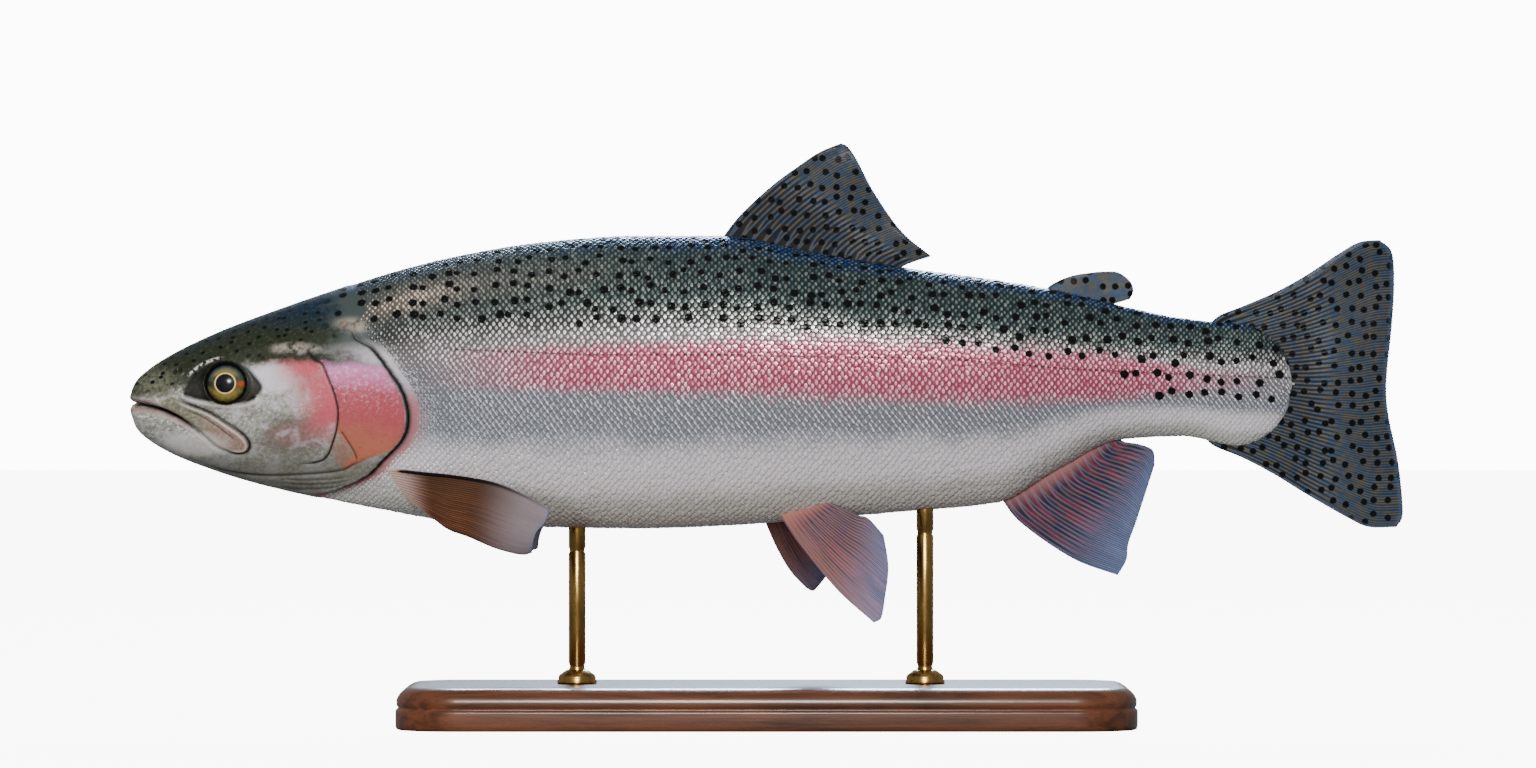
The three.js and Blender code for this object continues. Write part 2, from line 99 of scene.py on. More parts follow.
MOUTH_LINE = [(-2, -6.6), (1.4, -7.1), (4.6, -7.6), (7.7, -8.1), (11.6, -9.1), (15.2, -10.6),
              (19.1, -12.7), (23, -15.5), (27.7, -19.4), (31.2, -22.2), (34.4, -23.7),
              (38.7, -24.5)]
JAW_BONE = [(14.5, -4.4), (20.9, -7.4), (26.5, -9.5), (30.4, -11.6), (34.4, -14.3),
            (37.9, -16.6), (40.7, -19), (41.9, -21.2), (41.7, -23), (40.3, -24.2),
            (37.5, -24.4), (34.4, -23.5), (31.2, -22), (27.7, -19.2), (23, -15.2),
            (19.1, -12.4), (15.6, -10.3), (12, -8.6), (10.6, -6.4)]
PREOPERCLE_EDGE = [(60, 16), (64.7, 9.2), (67.9, 7.1), (70, 2.1), (72.1, -3.2), (73.5, -9.9),
                   (72.8, -16.6), (71.2, -21.9), (69.6, -25.5), (66.5, -27.6), (58, -28.8)]
GILL_EDGE = [(74, 38), (78, 25), (80.2, 16.6), (86.3, 12.4), (92.3, 4.6), (96.5, -2.1),
             (98.6, -9.2), (98.3, -15.9), (95.6, -21.2), (90.5, -26.2), (85.4, -31.5),
             (79.4, -34.8), (71.8, -37.6), (64, -39.4)]
SUBOPERCLE_LINE = [(91.9, -23.5), (79.5, -28.3), (74.2, -30.8), (60, -32.2), (46, -32.5),
                   (31.8, -30.4), (18, -25.5)]
INTEROPERCLE_LINE = [(74.2, -15.9), (79.4, -24.4), (80, -28)]
THROAT_FOLDS = [
    [(82, -31.6), (74, -33.4), (62, -34.2), (50, -33.6)],
    [(81, -33), (73, -35), (62, -35.8), (49, -35)],
    [(79, -34.6), (71, -36.6), (60, -37.3), (48, -36.2)],
]
ORBIT_LOWER_RIM = [(17.7, -2.8), (22.4, -4.6), (29, -6), (35, -6.7), (41, -6), (45.2, -4.2)]
ORBIT_UPPER_RIM = [(17.7, -2.8), (22.5, 3.6), (28, 7), (34, 8.4), (40, 7), (44, 3.4), (47, -1),
                   (45.2, -4.2)]
JAW_CREASE = [(19, -8.9), (25, -11.2), (30.5, -14.6), (35.4, -18.2), (38.2, -20.6)]
BROW_RIDGE = [(19, 2.6), (24, 5.6), (30, 9), (39, 11.2), (50, 13.2), (60, 13.6), (66, 13.2)]
NOSTRIL = (16.6, 4.6)

SCALE_TILT = 0.105     # rise of a scale over its length
FIRST_RANDOM_SEED = 80
LINE_HEIGHT = 100.0    # the lateral line's height in the patterns laid out flat over the body
COLUMNS_TO_A_RAY = 10  # places across one ray of a fin
FIN_ROWS = 64          # places from a fin's root to its tip
ROD_PLACES = {"front": 158.0, "rear": 281.0}
FLOOR_REACH = (6000, 9000)
# Rows of scales over the lateral line in each joined piece.
SCALE_LEVELS = {"upper": (8, 70), "middle": (-14, 8), "lower": (-70, -14)}


def curve_points(points, steps):
    """A smooth curve through a few places, as many places with even steps along it."""
    p = np.array(points, float)
    ends = np.vstack((2 * p[0] - p[1], p, 2 * p[-1] - p[-2]))
    t = np.linspace(0, 1, 13)[:-1, None]
    spans = []
    for a, b, c, d in zip(ends, ends[1:], ends[2:], ends[3:]):
        spans.append(0.5 * (2 * b + (c - a) * t + (2 * a - 5 * b + 4 * c - d) * t ** 2
                            + (3 * b - a - 3 * c + d) * t ** 3))
    fine = np.vstack(spans + [p[-1:]])
    run = np.append(0, np.cumsum(np.hypot(*np.diff(fine, axis=0)[:, :2].T)))
    even = np.linspace(0, run[-1], steps)
    return np.column_stack([np.interp(even, run, fine[:, k]) for k in range(p.shape[1])])


def smooth_step(x, low, high):
    t = np.clip((x - low) / (high - low), 0, 1)
    return t * t * (3 - 2 * t)


def along(table, at):
    """The value at a place on the fish of something told at a few places."""
    t = np.array(table, float)
    return np.interp(at, t[:, 0], t[:, 1])


def section_value(column, at):
    """One of the section's values between the stations, without overshooting them."""
    x = np.sqrt(STATIONS[:, 0])
    y = STATIONS[:, column]
    rise = np.diff(y) / np.diff(x)
    same = rise[:-1] * rise[1:] > 0
    mean = np.where(same, 2 * rise[:-1] * rise[1:] / np.where(same, rise[:-1] + rise[1:], 1), 0)
    slope = np.concatenate((rise[:1], mean, rise[-1:]))
    s = np.sqrt(np.clip(at, 0, FLESH_LENGTH))
    i = np.clip(np.searchsorted(x, s) - 1, 0, len(rise) - 1)
    step = x[i + 1] - x[i]
    t = (s - x[i]) / step
    a = t * t * (3 - 2 * t)
    bend = step * t * (1 - t) * ((1 - t) * slope[i] - t * slope[i + 1])
    return y[i] * (1 - a) + y[i + 1] * a + bend


def sections(at):
    """Every section value at places along the fish, with the flesh's end rounded off."""
    s = {c: section_value(c, at) for c in range(1, 7)}
    past = np.clip(at - (FLESH_LENGTH - TAIL_ROUNDING), 0, TAIL_ROUNDING) / TAIL_ROUNDING
    close = np.sqrt(np.maximum(0, 1 - past ** 2))
    s[TOP] = s[WIDE] + (s[TOP] - s[WIDE]) * close
    s[BOTTOM] = s[WIDE] + (s[BOTTOM] - s[WIDE]) * close
    s[HALF] = s[HALF] * (0.55 + 0.45 * close)
    return s


class Flank:
    """The body's surface as a table: half a section at every 0.5 mm, from ridge to keel."""

    STEP = 0.5
    AROUND = 240

    def __init__(self):
        self.at = np.append(np.arange(0, FLESH_LENGTH, self.STEP), FLESH_LENGTH)
        s = sections(self.at)
        turn = np.linspace(0, np.pi, 721)
        side, rise = np.sin(turn), np.cos(turn)
        upper = rise > 0

        def squared(x, power):
            return np.sign(x) * np.abs(x) ** (2 / power)

        power = np.where(upper, s[CROWN][:, None], s[KEEL][:, None])
        reach = np.where(upper, (s[TOP] - s[WIDE])[:, None], (s[WIDE] - s[BOTTOM])[:, None])
        across = s[HALF][:, None] * squared(side[None], power)
        up = s[WIDE][:, None] + reach * squared(rise[None], power)
        across[:, -1] = 0
        arc = np.concatenate((np.zeros((len(self.at), 1)),
                              np.cumsum(np.hypot(np.diff(across), np.diff(up)), 1)), 1)
        self.total = arc[:, -1]
        even = np.linspace(0, 1, self.AROUND + 1)
        share = arc / np.maximum(self.total, 1e-9)[:, None]
        self.across = np.array([np.interp(even, f, v) for f, v in zip(share, across)])
        self.up = np.array([np.interp(even, f, v) for f, v in zip(share, up)])
        line = along(LATERAL_LINE, self.at)
        self.line_arc = np.array([np.interp(-l, -u, a) for l, u, a in zip(line, up, arc)])

    def look_up(self, table, at, share):
        """Reads the table between its rows and columns."""
        i = np.clip(at / self.STEP, 0, len(self.at) - 1.001)
        j = np.clip(share, 0, 1) * (self.AROUND - 1e-6)
        i0, j0 = i.astype(int), j.astype(int)
        u, v = i - i0, j - j0
        return ((table[i0, j0] * (1 - v) + table[i0, j0 + 1] * v) * (1 - u)
                + (table[i0 + 1, j0] * (1 - v) + table[i0 + 1, j0 + 1] * v) * u)

    def place(self, at, share):
        """The place at a share of the way round from the ridge to the keel, on the right."""
        return np.stack((at, self.look_up(self.across, at, share),
                         self.look_up(self.up, at, share)), -1)

    def normal(self, at, share):
        da = np.where(at < 3, 0.12, 0.8)
        low, high = np.clip(at - da, 0.02, None), np.clip(at + da, None, FLESH_LENGTH - 0.01)
        along_it = self.place(high, share) - self.place(low, share)
        down = self.place(at, share + 0.006) - self.place(at, share - 0.006)
        n = np.cross(along_it, down)
        n /= np.maximum(np.linalg.norm(n, axis=-1, keepdims=True), 1e-9)
        middle = (share < 1e-4) | (share > 1 - 1e-4)
        n[..., 1] = np.where(middle, 0, n[..., 1])
        return n / np.maximum(np.linalg.norm(n, axis=-1, keepdims=True), 1e-9)

    def arc_total(self, at):
        return np.interp(at, self.at, self.total)

    def from_line(self, at, arc):
        """Share of the way round for a distance over the lateral line, and the side it is on.

        Past the ridge or the keel it goes on down the other side.
        """
        total = self.arc_total(at)
        down = np.interp(at, self.at, self.line_arc) - arc
        same = (down >= 0) & (down <= total)
        down = np.where(down < 0, -down, np.where(down > total, 2 * total - down, down))
        return down / total, np.where(same, 1.0, -1.0)

    def over_line(self, at, share):
        return np.interp(at, self.at, self.line_arc) - share * self.arc_total(at)


FLANK = Flank()


def half_width(at, up):
    s = sections(np.asarray(at, float))
    upper = up > s[WIDE]
    reach = np.where(upper, s[TOP] - s[WIDE], s[WIDE] - s[BOTTOM])
    power = np.where(upper, s[CROWN], s[KEEL])
    rise = np.clip(np.abs(up - s[WIDE]) / reach, 0, 1)
    return s[HALF] * (1 - rise ** power) ** (1 / power)


def as_seen(places):
    """Where places fall on the side view: at and up."""
    near = 1 / (1 - np.abs(places[..., 1]) / VIEW_DISTANCE)
    return VIEW_CENTRE + (places[..., 0] - VIEW_CENTRE) * near, places[..., 2] * near


def from_seen(at, up, across):
    """Real places at a distance across the fish that fall on places of the side view."""
    far = 1 + across / VIEW_DISTANCE
    return np.stack((VIEW_CENTRE + (at - VIEW_CENTRE) * far,
                     np.broadcast_to(across, np.shape(at)), up * far), -1)


def on_flank(at, up):
    """The place on the left side that falls on a place of the side view, and its normal."""
    at, up = np.asarray(at, float), np.asarray(up, float)
    across = -half_width(at, up)
    for _ in range(3):
        p = from_seen(at, up, across)
        across = -half_width(p[..., 0], p[..., 2])
    p = from_seen(at, up, across)
    e = 0.4
    x, z = p[..., 0], p[..., 2]
    slope_x = (half_width(x + e, z) - half_width(x - e, z)) / (2 * e)
    slope_z = (half_width(x, z + e) - half_width(x, z - e)) / (2 * e)
    n = np.stack((-slope_x, -np.ones_like(x), -slope_z), -1)
    return p, n / np.linalg.norm(n, axis=-1, keepdims=True)


def to_frame(places):
    """Millimetres along, across and up the fish as metres in the frame."""
    p = np.asarray(places, float)
    return np.stack(((p[..., 0] - FISH_LENGTH / 2) * MM, p[..., 1] * MM,
                     (p[..., 2] + AXIS_HEIGHT) * MM), -1)


def distance_to(curve, at, up):
    """Distance to a curve on the side view, and the share of the way along it."""
    c = np.asarray(curve)
    shape = at.shape
    x, y = at.ravel(), up.ravel()
    best = np.full(x.shape, 1e9)
    way = np.zeros(x.shape)
    for k in range(len(c) - 1):
        d = c[k + 1] - c[k]
        t = np.clip(((x - c[k, 0]) * d[0] + (y - c[k, 1]) * d[1]) / (d @ d), 0, 1)
        far = np.hypot(x - c[k, 0] - t * d[0], y - c[k, 1] - t * d[1])
        closer = far < best
        best = np.where(closer, far, best)
        way = np.where(closer, (k + t) / (len(c) - 1), way)
    return best.reshape(shape), way.reshape(shape)


def inside(outline, at, up):
    """Whether places of the side view lie inside a closed outline."""
    c = np.asarray(outline)
    within = np.zeros(at.shape, bool)
    for (x0, y0), (x1, y1) in zip(c, np.roll(c, -1, 0)):
        crosses = (y0 > up) != (y1 > up)
        level = np.where(y1 == y0, 1e-9, y1 - y0)
        within ^= crosses & (at < (x1 - x0) * (up - y0) / level + x0)
    return within


# ---- Settings ------------------------------------------------------------------------------

def tone(red, green, blue):
    """A colour on the 0 to 255 scale as the renderer's linear one."""
    return tuple(c / 255 / 12.92 if c < 11 else ((c / 255 + 0.055) / 1.055) ** 2.4
                 for c in (red, green, blue))


def length_setting(name, description, millimetres):
    return bpy.props.FloatProperty(name=name, description=description, min=0, precision=5,
                                   default=millimetres * MM, unit="LENGTH")


def colour_setting(name, description, red, green, blue):
    return bpy.props.FloatVectorProperty(name=name, description=description, min=0, max=1,
                                         size=3, subtype="COLOR", default=tone(red, green, blue))


class TroutSizes(bpy.types.PropertyGroup):
    """Sizes of the small forms over the body."""
    scale_pitch: length_setting("Scale pitch", "Step between scales along a row", 2.35)
    scale_row: length_setting("Row pitch", "Step between rows of scales", 1.5)
    scale_length: length_setting("Scale length", "Length of one scale, root included", 4.1)
    scale_width: length_setting("Scale width", "Width of one scale", 3.05)
    coat_depth: length_setting("Coat depth", "How far the skin lies under the scales", 0.42)
    spot_pitch: length_setting("Spot pitch", "Step between the black spots", 6.1)
    spot_radius: length_setting("Spot radius", "Half of a spot's width", 1.42)
    pupil_radius: length_setting("Pupil radius", "Half of the pupil's width", 3.3)
    ring_radius: length_setting("Ring radius", "Half of the gold ring's width", 3.78)
    fin_thickness: length_setting("Fin thickness", "Thickness of a fin's web", 0.5)
    ray_height: length_setting("Ray height", "Rise of a fin ray over the web", 0.22)


class TroutColours(bpy.types.PropertyGroup):
    """Colours of the fish and its stand."""
    # The ridge's steel blue is partly the back's own colour and partly painted blue rim light.
    ridge: colour_setting("Ridge", "Top of the back", 14, 50, 98)
    back: colour_setting("Back", "Side of the back", 42, 58, 62)
    shoulder: colour_setting("Shoulder", "Where the back turns into the flank", 78, 86, 84)
    silver: colour_setting("Silver", "Scales over and under the band", 184, 180, 186)
    band: colour_setting("Band", "Pink band along the side", 206, 96, 132)
    flank: colour_setting("Flank", "Side under the band", 168, 174, 186)
    belly: colour_setting("Belly", "Underside", 196, 194, 190)
    gill_red: colour_setting("Gill red", "Middle of the gill cover", 176, 80, 88)
    gill_rose: colour_setting("Gill rose", "Upper part of the gill cover", 212, 128, 182)
    cheek: colour_setting("Cheek", "Cheek and lower jaw", 164, 162, 154)
    crown: colour_setting("Crown", "Top of the head", 38, 44, 32)
    lip: colour_setting("Lip", "Edges of the lips and the mouth's lining", 164, 134, 128)
    # Painted shade: the dark colour put in the folds, slits, pits and round the eyes' wells.
    crease: colour_setting("Crease", "Dark lines in the folds", 18, 16, 12)
    spot: colour_setting("Spots", "Black spots", 6, 7, 8)
    fin_grey: colour_setting("Fin grey", "Webs of the back and tail fins", 26, 32, 40)
    fin_brown: colour_setting("Fin brown", "Webs of the paired fins", 92, 64, 48)
    iris_gold: colour_setting("Iris gold", "Lower half of the iris", 104, 92, 40)
    iris_blue: colour_setting("Iris blue", "Upper half of the iris", 44, 62, 70)
    ring_gold: colour_setting("Ring gold", "Ring round the pupil", 226, 178, 96)
    pupil: colour_setting("Pupil", "Pupil of the eye", 6, 10, 20)
    wood: colour_setting("Wood", "Display base", 92, 52, 30)
    brass: colour_setting("Brass", "Rods and collars", 190, 150, 84)


# ---- Making meshes -------------------------------------------------------------------------

def mesh_piece(name, places, faces, values=None, unwrap=None):
    """A mesh in the scene from places in millimetres, with values kept at its corners' points."""
    data = bpy.data.meshes.new(name)
    faces = np.asarray(faces)
    count, sides = faces.shape
    data.vertices.add(len(places))
    data.vertices.foreach_set("co", to_frame(places).astype(np.float32).ravel())
    data.loops.add(count * sides)
    data.loops.foreach_set("vertex_index", faces.astype(np.int32).ravel())
    data.polygons.add(count)
    data.polygons.foreach_set("loop_start", np.arange(0, count * sides, sides, dtype=np.int32))
    data.polygons.foreach_set("use_smooth", np.full(count, True))
    for key, value in (values or {}).items():
        if np.ndim(value) == 2:
            layer = data.attributes.new(key, "FLOAT_VECTOR", "POINT")
            layer.data.foreach_set("vector", np.asarray(value, np.float32).ravel())
        else:
            layer = data.attributes.new(key, "FLOAT", "POINT")
            layer.data.foreach_set("value", np.asarray(value, np.float32))
    if unwrap is not None:
        layer = data.uv_layers.new(name="OFBake")
        layer.data.foreach_set("uv", np.asarray(unwrap, np.float32)[faces.ravel()].ravel())
    data.update(calc_edges=True)
    data.validate()
    piece = bpy.data.objects.new(name, data)
    bpy.context.scene.collection.objects.link(piece)
    return piece


def grid_faces(rows, columns, closed=False):
    """Four-sided faces of a net of places, row after row."""
    r = np.arange(rows - 1)[:, None]
    c = np.arange(columns if closed else columns - 1)[None]
    d = (c + 1) % columns
    quads = np.stack((r * columns + c, r * columns + d, (r + 1) * columns + d,
                      (r + 1) * columns + c), -1)
    return quads.reshape(-1, 4)


def finish_piece(piece, material, slot, *nodes):
    piece.data.materials.append(material)
    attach(piece, "root")
    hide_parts(*nodes)
    return piece


# ---- Making materials ----------------------------------------------------------------------

class Paint:
    """A material and short ways to add its nodes."""

    def __init__(self, name, **sockets):
        self.material = bpy.data.materials.new(name)
        self.material.use_nodes = True
        self.tree = self.material.node_tree
        self.tree.nodes.clear()
        self.shader = self.add("ShaderNodeBsdfPrincipled")
        out = self.add("ShaderNodeOutputMaterial")
        self.tree.links.new(self.shader.outputs[0], out.inputs[0])
        for key, value in sockets.items():
            self.set(key.replace("_", " "), value)

    def set(self, socket, value):
        self.put(self.shader.inputs[socket], value)

    def add(self, kind, **settings):
        node = self.tree.nodes.new(kind)
        for key, value in settings.items():
            setattr(node, key, value)
        return node

    def put(self, socket, value):
        if isinstance(value, bpy.types.NodeSocket):
            self.tree.links.new(value, socket)
        elif hasattr(value, "__len__") and socket.type == "RGBA":
            socket.default_value = (*value, 1)[:4]
        else:
            socket.default_value = value

    def math(self, operation, *values, clamp=False):
        node = self.add("ShaderNodeMath", operation=operation, use_clamp=clamp)
        for socket, value in zip(node.inputs, values):
            self.put(socket, value)
        return node.outputs[0]

    def times(self, first, second):
        return self.math("MULTIPLY", first, second)

    def scaled(self, value, factor, plus):
        return self.math("MULTIPLY_ADD", value, factor, plus)

    def mix(self, share, first, second):
        node = self.add("ShaderNodeMix", data_type="RGBA")
        self.put(node.inputs[0], share)
        self.put(node.inputs[6], first)
        self.put(node.inputs[7], second)
        return node.outputs[2]

    def value(self, name):
        return self.add("ShaderNodeAttribute", attribute_name=name).outputs["Fac"]

    def vector(self, name):
        return self.add("ShaderNodeAttribute", attribute_name=name).outputs["Vector"]

    def step(self, value, low, high):
        """0 under low and 1 over high, turning smoothly; the other way round if low is over."""
        node = self.add("ShaderNodeMapRange", interpolation_type="SMOOTHSTEP")
        for key, number in (("Value", value), ("From Min", low), ("From Max", high)):
            self.put(node.inputs[key], number)
        return node.outputs[0]

    def line(self, value, middle, width):
        """1 where a value is at its middle, falling off smoothly over its width."""
        off = self.math("DIVIDE", self.math("SUBTRACT", value, middle), width)
        return self.math("EXPONENT", self.times(self.times(off, off), -1.0))

    def noise(self, vector, scale, detail=2.0, roughness=0.5, distortion=0.0):
        node = self.add("ShaderNodeTexNoise")
        self.put(node.inputs["Vector"], vector)
        for key, number in (("Scale", scale), ("Detail", detail), ("Roughness", roughness),
                            ("Distortion", distortion)):
            node.inputs[key].default_value = number
        return node.outputs["Fac"]

    def cells(self, vector, randomness):
        """Flat cells one step apart, with their distance, place and colour outputs."""
        node = self.add("ShaderNodeTexVoronoi", voronoi_dimensions="2D")
        self.put(node.inputs["Vector"], vector)
        node.inputs["Scale"].default_value = 1.0
        node.inputs["Randomness"].default_value = randomness
        return node.outputs

    def parts(self, vector):
        node = self.add("ShaderNodeSeparateXYZ")
        self.put(node.inputs[0], vector)
        return node.outputs

    def length(self, x, y):
        """How far a place with these two parts lies from the origin."""
        return self.math("SQRT", self.math("ADD", self.times(x, x), self.times(y, y)))

    def stretch(self, vector, x, y, z=1.0):
        node = self.add("ShaderNodeMapping")
        self.put(node.inputs["Vector"], vector)
        node.inputs["Scale"].default_value = (x, y, z)
        return node.outputs[0]

    def ramp(self, value, stops):
        node = self.add("ShaderNodeValToRGB")
        self.put(node.inputs[0], value)
        band = node.color_ramp
        while len(band.elements) < len(stops):
            band.elements.new(0.5)
        for element, (place, colour) in zip(band.elements, stops):
            element.position = place
            element.color = (*colour, 1)
        return node.outputs[0]

    def bump(self, height, strength, distance):
        node = self.add("ShaderNodeBump")
        self.put(node.inputs["Height"], height)
        node.inputs["Strength"].default_value = strength
        node.inputs["Distance"].default_value = distance
        self.set("Normal", node.outputs[0])


# ---- The skin's folds ----------------------------------------------------------------------

GILL_RING = 98.0       # the ring of the skin that follows the gill opening


def gill_ring_at(share):
    """How far along the fish the gill opening's edge lies at each share of the way round."""
    edge = curve_points(GILL_EDGE, 160)
    share_there = np.linspace(0, 1, 400)
    found = np.empty_like(share_there)
    for k, s in enumerate(share_there):
        places = FLANK.place(edge[:, 0], np.full(160, s))
        seen_up = as_seen(places * (1, -1, 1))[1]
        gap = seen_up - edge[:, 1]
        crossing = np.nonzero(np.diff(np.sign(gap)))[0]
        found[k] = edge[crossing[0], 0] if len(crossing) else (edge[0, 0] if s < 0.5
                                                              else edge[-1, 0])
    return np.interp(share, share_there, found)


def mouth_share(at):
    """The share of the way round where the mouth line runs."""
    line = curve_points(MOUTH_LINE, 90)
    shares = []
    grid = np.linspace(0.2, 0.98, 300)
    for place_at, place_up in line:
        seen_up = as_seen(FLANK.place(np.full(300, max(place_at, 0.05)), grid) * (1, -1, 1))[1]
        shares.append(np.interp(-place_up, -seen_up, grid))
    return np.interp(at, line[:, 0], shares)


def groove(distance, width):
    return np.exp(-(distance / width) ** 2)


def head_relief(at, up):
    """Rise of the head's skin at places of the side view, and the values its colours need."""
    rise = np.zeros(at.shape)
    values = {}

    def fold(name, curve, depth, width, step=0.0, ends=0.12, steps=80):
        """A groove along a curve; the skin on the curve's right hand may stand higher.

        Its signed distance is kept, so that a material paints the groove's shade as a crisp line.
        """
        nonlocal rise
        c = curve_points(curve, steps)
        far, way = distance_to(c, at, up)
        k = np.clip((way * (steps - 1)).astype(int), 0, steps - 2)
        run = c[k + 1] - c[k]
        side = np.sign(run[..., 0] * (up - c[k, 1]) - run[..., 1] * (at - c[k, 0]))
        fade = smooth_step(way, 0, ends) * smooth_step(1 - way, 0, ends)
        rise = rise - depth * groove(far, width) * fade
        rise = rise + step * fade * np.where(side < 0, np.exp(-far / 5.0), 0)
        off = far + 2.5 * (1 - fade)
        values["near_fold"] = np.minimum(values.get("near_fold", 6.0), off)
        signed = side * off
        if name in values:
            closer = np.abs(signed) < np.abs(values[name])
            signed = np.where(closer, signed, values[name])
        values[name] = np.clip(signed, -6, 6)
        return far, fade

    # The gill cover's bones: preopercle, subopercle, interopercle and the folds of the throat.
    fold("fold_rear", PREOPERCLE_EDGE, 0.45, 0.55, 0.16, 0.12)
    fold("fold_low", SUBOPERCLE_LINE, 0.5, 0.6, 0.0, 0.2)
    fold("fold_small", INTEROPERCLE_LINE, 0.35, 0.45)
    for curve in THROAT_FOLDS:
        fold("fold_throat", curve, 0.35, 0.5, 0.0, 0.3)
    fold("fold_jaw", JAW_CREASE, 0.3, 0.5)
    far, way = distance_to(curve_points(BROW_RIDGE, 60), at, up)
    fade = smooth_step(way, 0, 0.3) * smooth_step(1 - way, 0, 0.4)
    rise += 0.35 * groove(far, 1.9) * fade
    rise -= 0.2 * groove(far - 3.4, 1.6) * fade * (up < 13)

    # The eye's socket: an almond-shaped hollow with a crisp lower rim and the eye's well.
    rim = np.vstack((curve_points(ORBIT_UPPER_RIM, 60),
                     curve_points(ORBIT_LOWER_RIM[::-1], 40)[1:-1]))
    far, _ = distance_to(np.vstack((rim, rim[:1])), at, up)
    within = inside(rim, at, up)
    socket = np.where(within, far, -far)
    rise -= 0.8 * smooth_step(socket, -0.5, 1.6)
    far, fade = fold("fold_orbit", ORBIT_LOWER_RIM, 0.35, 0.6, 0.0, 0.06)
    rise += 0.5 * groove(far - 1.5, 0.8) * fade * ~within
    eye_far = np.hypot((at - EYE["at"]) / EYE["wide"], up - EYE["up"])
    rise += 0.9 * groove(eye_far - EYE["radius"] - 0.3, 1.0)
    rise -= 5.0 * smooth_step(EYE["radius"] - eye_far, -0.1, 0.9)

    # The nostril: two pits parted by a small flap in a raised rim.
    x, y = at - NOSTRIL[0], up - NOSTRIL[1]
    rise += 0.45 * groove(np.hypot(x, y) - 1.9, 0.6)
    pits = 0
    for pit_x, pit_y in ((-0.85, -0.3), (0.95, 0.35)):
        pit = groove(np.hypot(x - pit_x, y - pit_y), 0.72)
        rise -= 1.5 * pit
        pits = np.maximum(pits, pit)
    rise += 0.7 * groove(np.hypot((x - 0.1) / 0.5, y / 1.3), 1.0)

    # The jaw bone lies as a plate along the mouth.
    bone = curve_points(JAW_BONE, 140)
    far, way = distance_to(bone, at, up)
    within = inside(np.vstack((bone, MOUTH_LINE[3:4])), at, up)
    plate = np.where(within, far, -far)
    upper = smooth_step(way, 0.0, 0.1) * smooth_step(0.6 - way, 0, 0.06)
    rise += 0.75 * smooth_step(plate, -0.25, 0.75) * smooth_step(at, 15, 21)
    rise -= 0.5 * groove(plate + 0.6, 0.6) * upper

    # The plate of the gill cover, and the cheek in front of it that turns pink with it.
    front = curve_points(PREOPERCLE_EDGE, 60)
    rear = curve_points(GILL_EDGE[2:-3], 60)
    cover = np.vstack((front[front[:, 1] > -17], INTEROPERCLE_LINE[1:2],
                       curve_points(SUBOPERCLE_LINE[:3], 20)[::-1], rear[::-1]))
    far, _ = distance_to(np.vstack((cover, cover[:1])), at, up)
    cover = np.where(inside(cover, at, up), far, -far)
    far, way = distance_to(front, at, up)
    pink = smooth_step(18 - far, 0, 14) * smooth_step(up, -25, -10)
    ahead = at < np.interp(-up, -front[:, 1], front[:, 0])
    values.update({"socket": socket, "plate": plate, "plate_edge": upper, "cover": cover,
                   "pink": pink * ahead, "pits": pits})
    return rise, values


def gill_profile(gap, strength):
    """Rise across the gill opening: the cover's rim, the slit under it and the shoulder."""
    rim = 0.4 * smooth_step(gap, -9, -1.2)
    drop = 2.5 * smooth_step(gap, -0.35, 0.55)
    back = 1.5 * smooth_step(gap, 0.8, 12)
    settle = 0.6 * smooth_step(gap, 7, 18)
    return strength * (rim - drop + back + settle)


def shoulder_rise(at, share):
    """The gill opening's relief behind the cover, which the first scales lie on too."""
    share = np.clip(share, 0, 1)
    low, high = np.clip(share - 0.01, 0, 1), np.clip(share + 0.01, 0, 1)
    slant = (gill_ring_at(high) - gill_ring_at(low)) / (high - low) / FLANK.arc_total(at)
    gap = (at - gill_ring_at(share)) / np.sqrt(1 + slant ** 2)
    seen_up = FLANK.look_up(FLANK.up, at, share)
    strength = (1 - smooth_step(seen_up, 11, 21)) * (1 - smooth_step(share, 0.93, 0.99))
    return gill_profile(np.maximum(gap, 1), strength)


def mouth_profile(gap, half_open):
    """Depth of the mouth's slit, with rounded lips, at a distance over its line."""
    d = np.maximum(np.abs(gap) - half_open, 0)
    return -3.2 * np.exp(-(d / 0.7) ** 1.4) + 0.3 * groove(d - 2.1, 1.1)


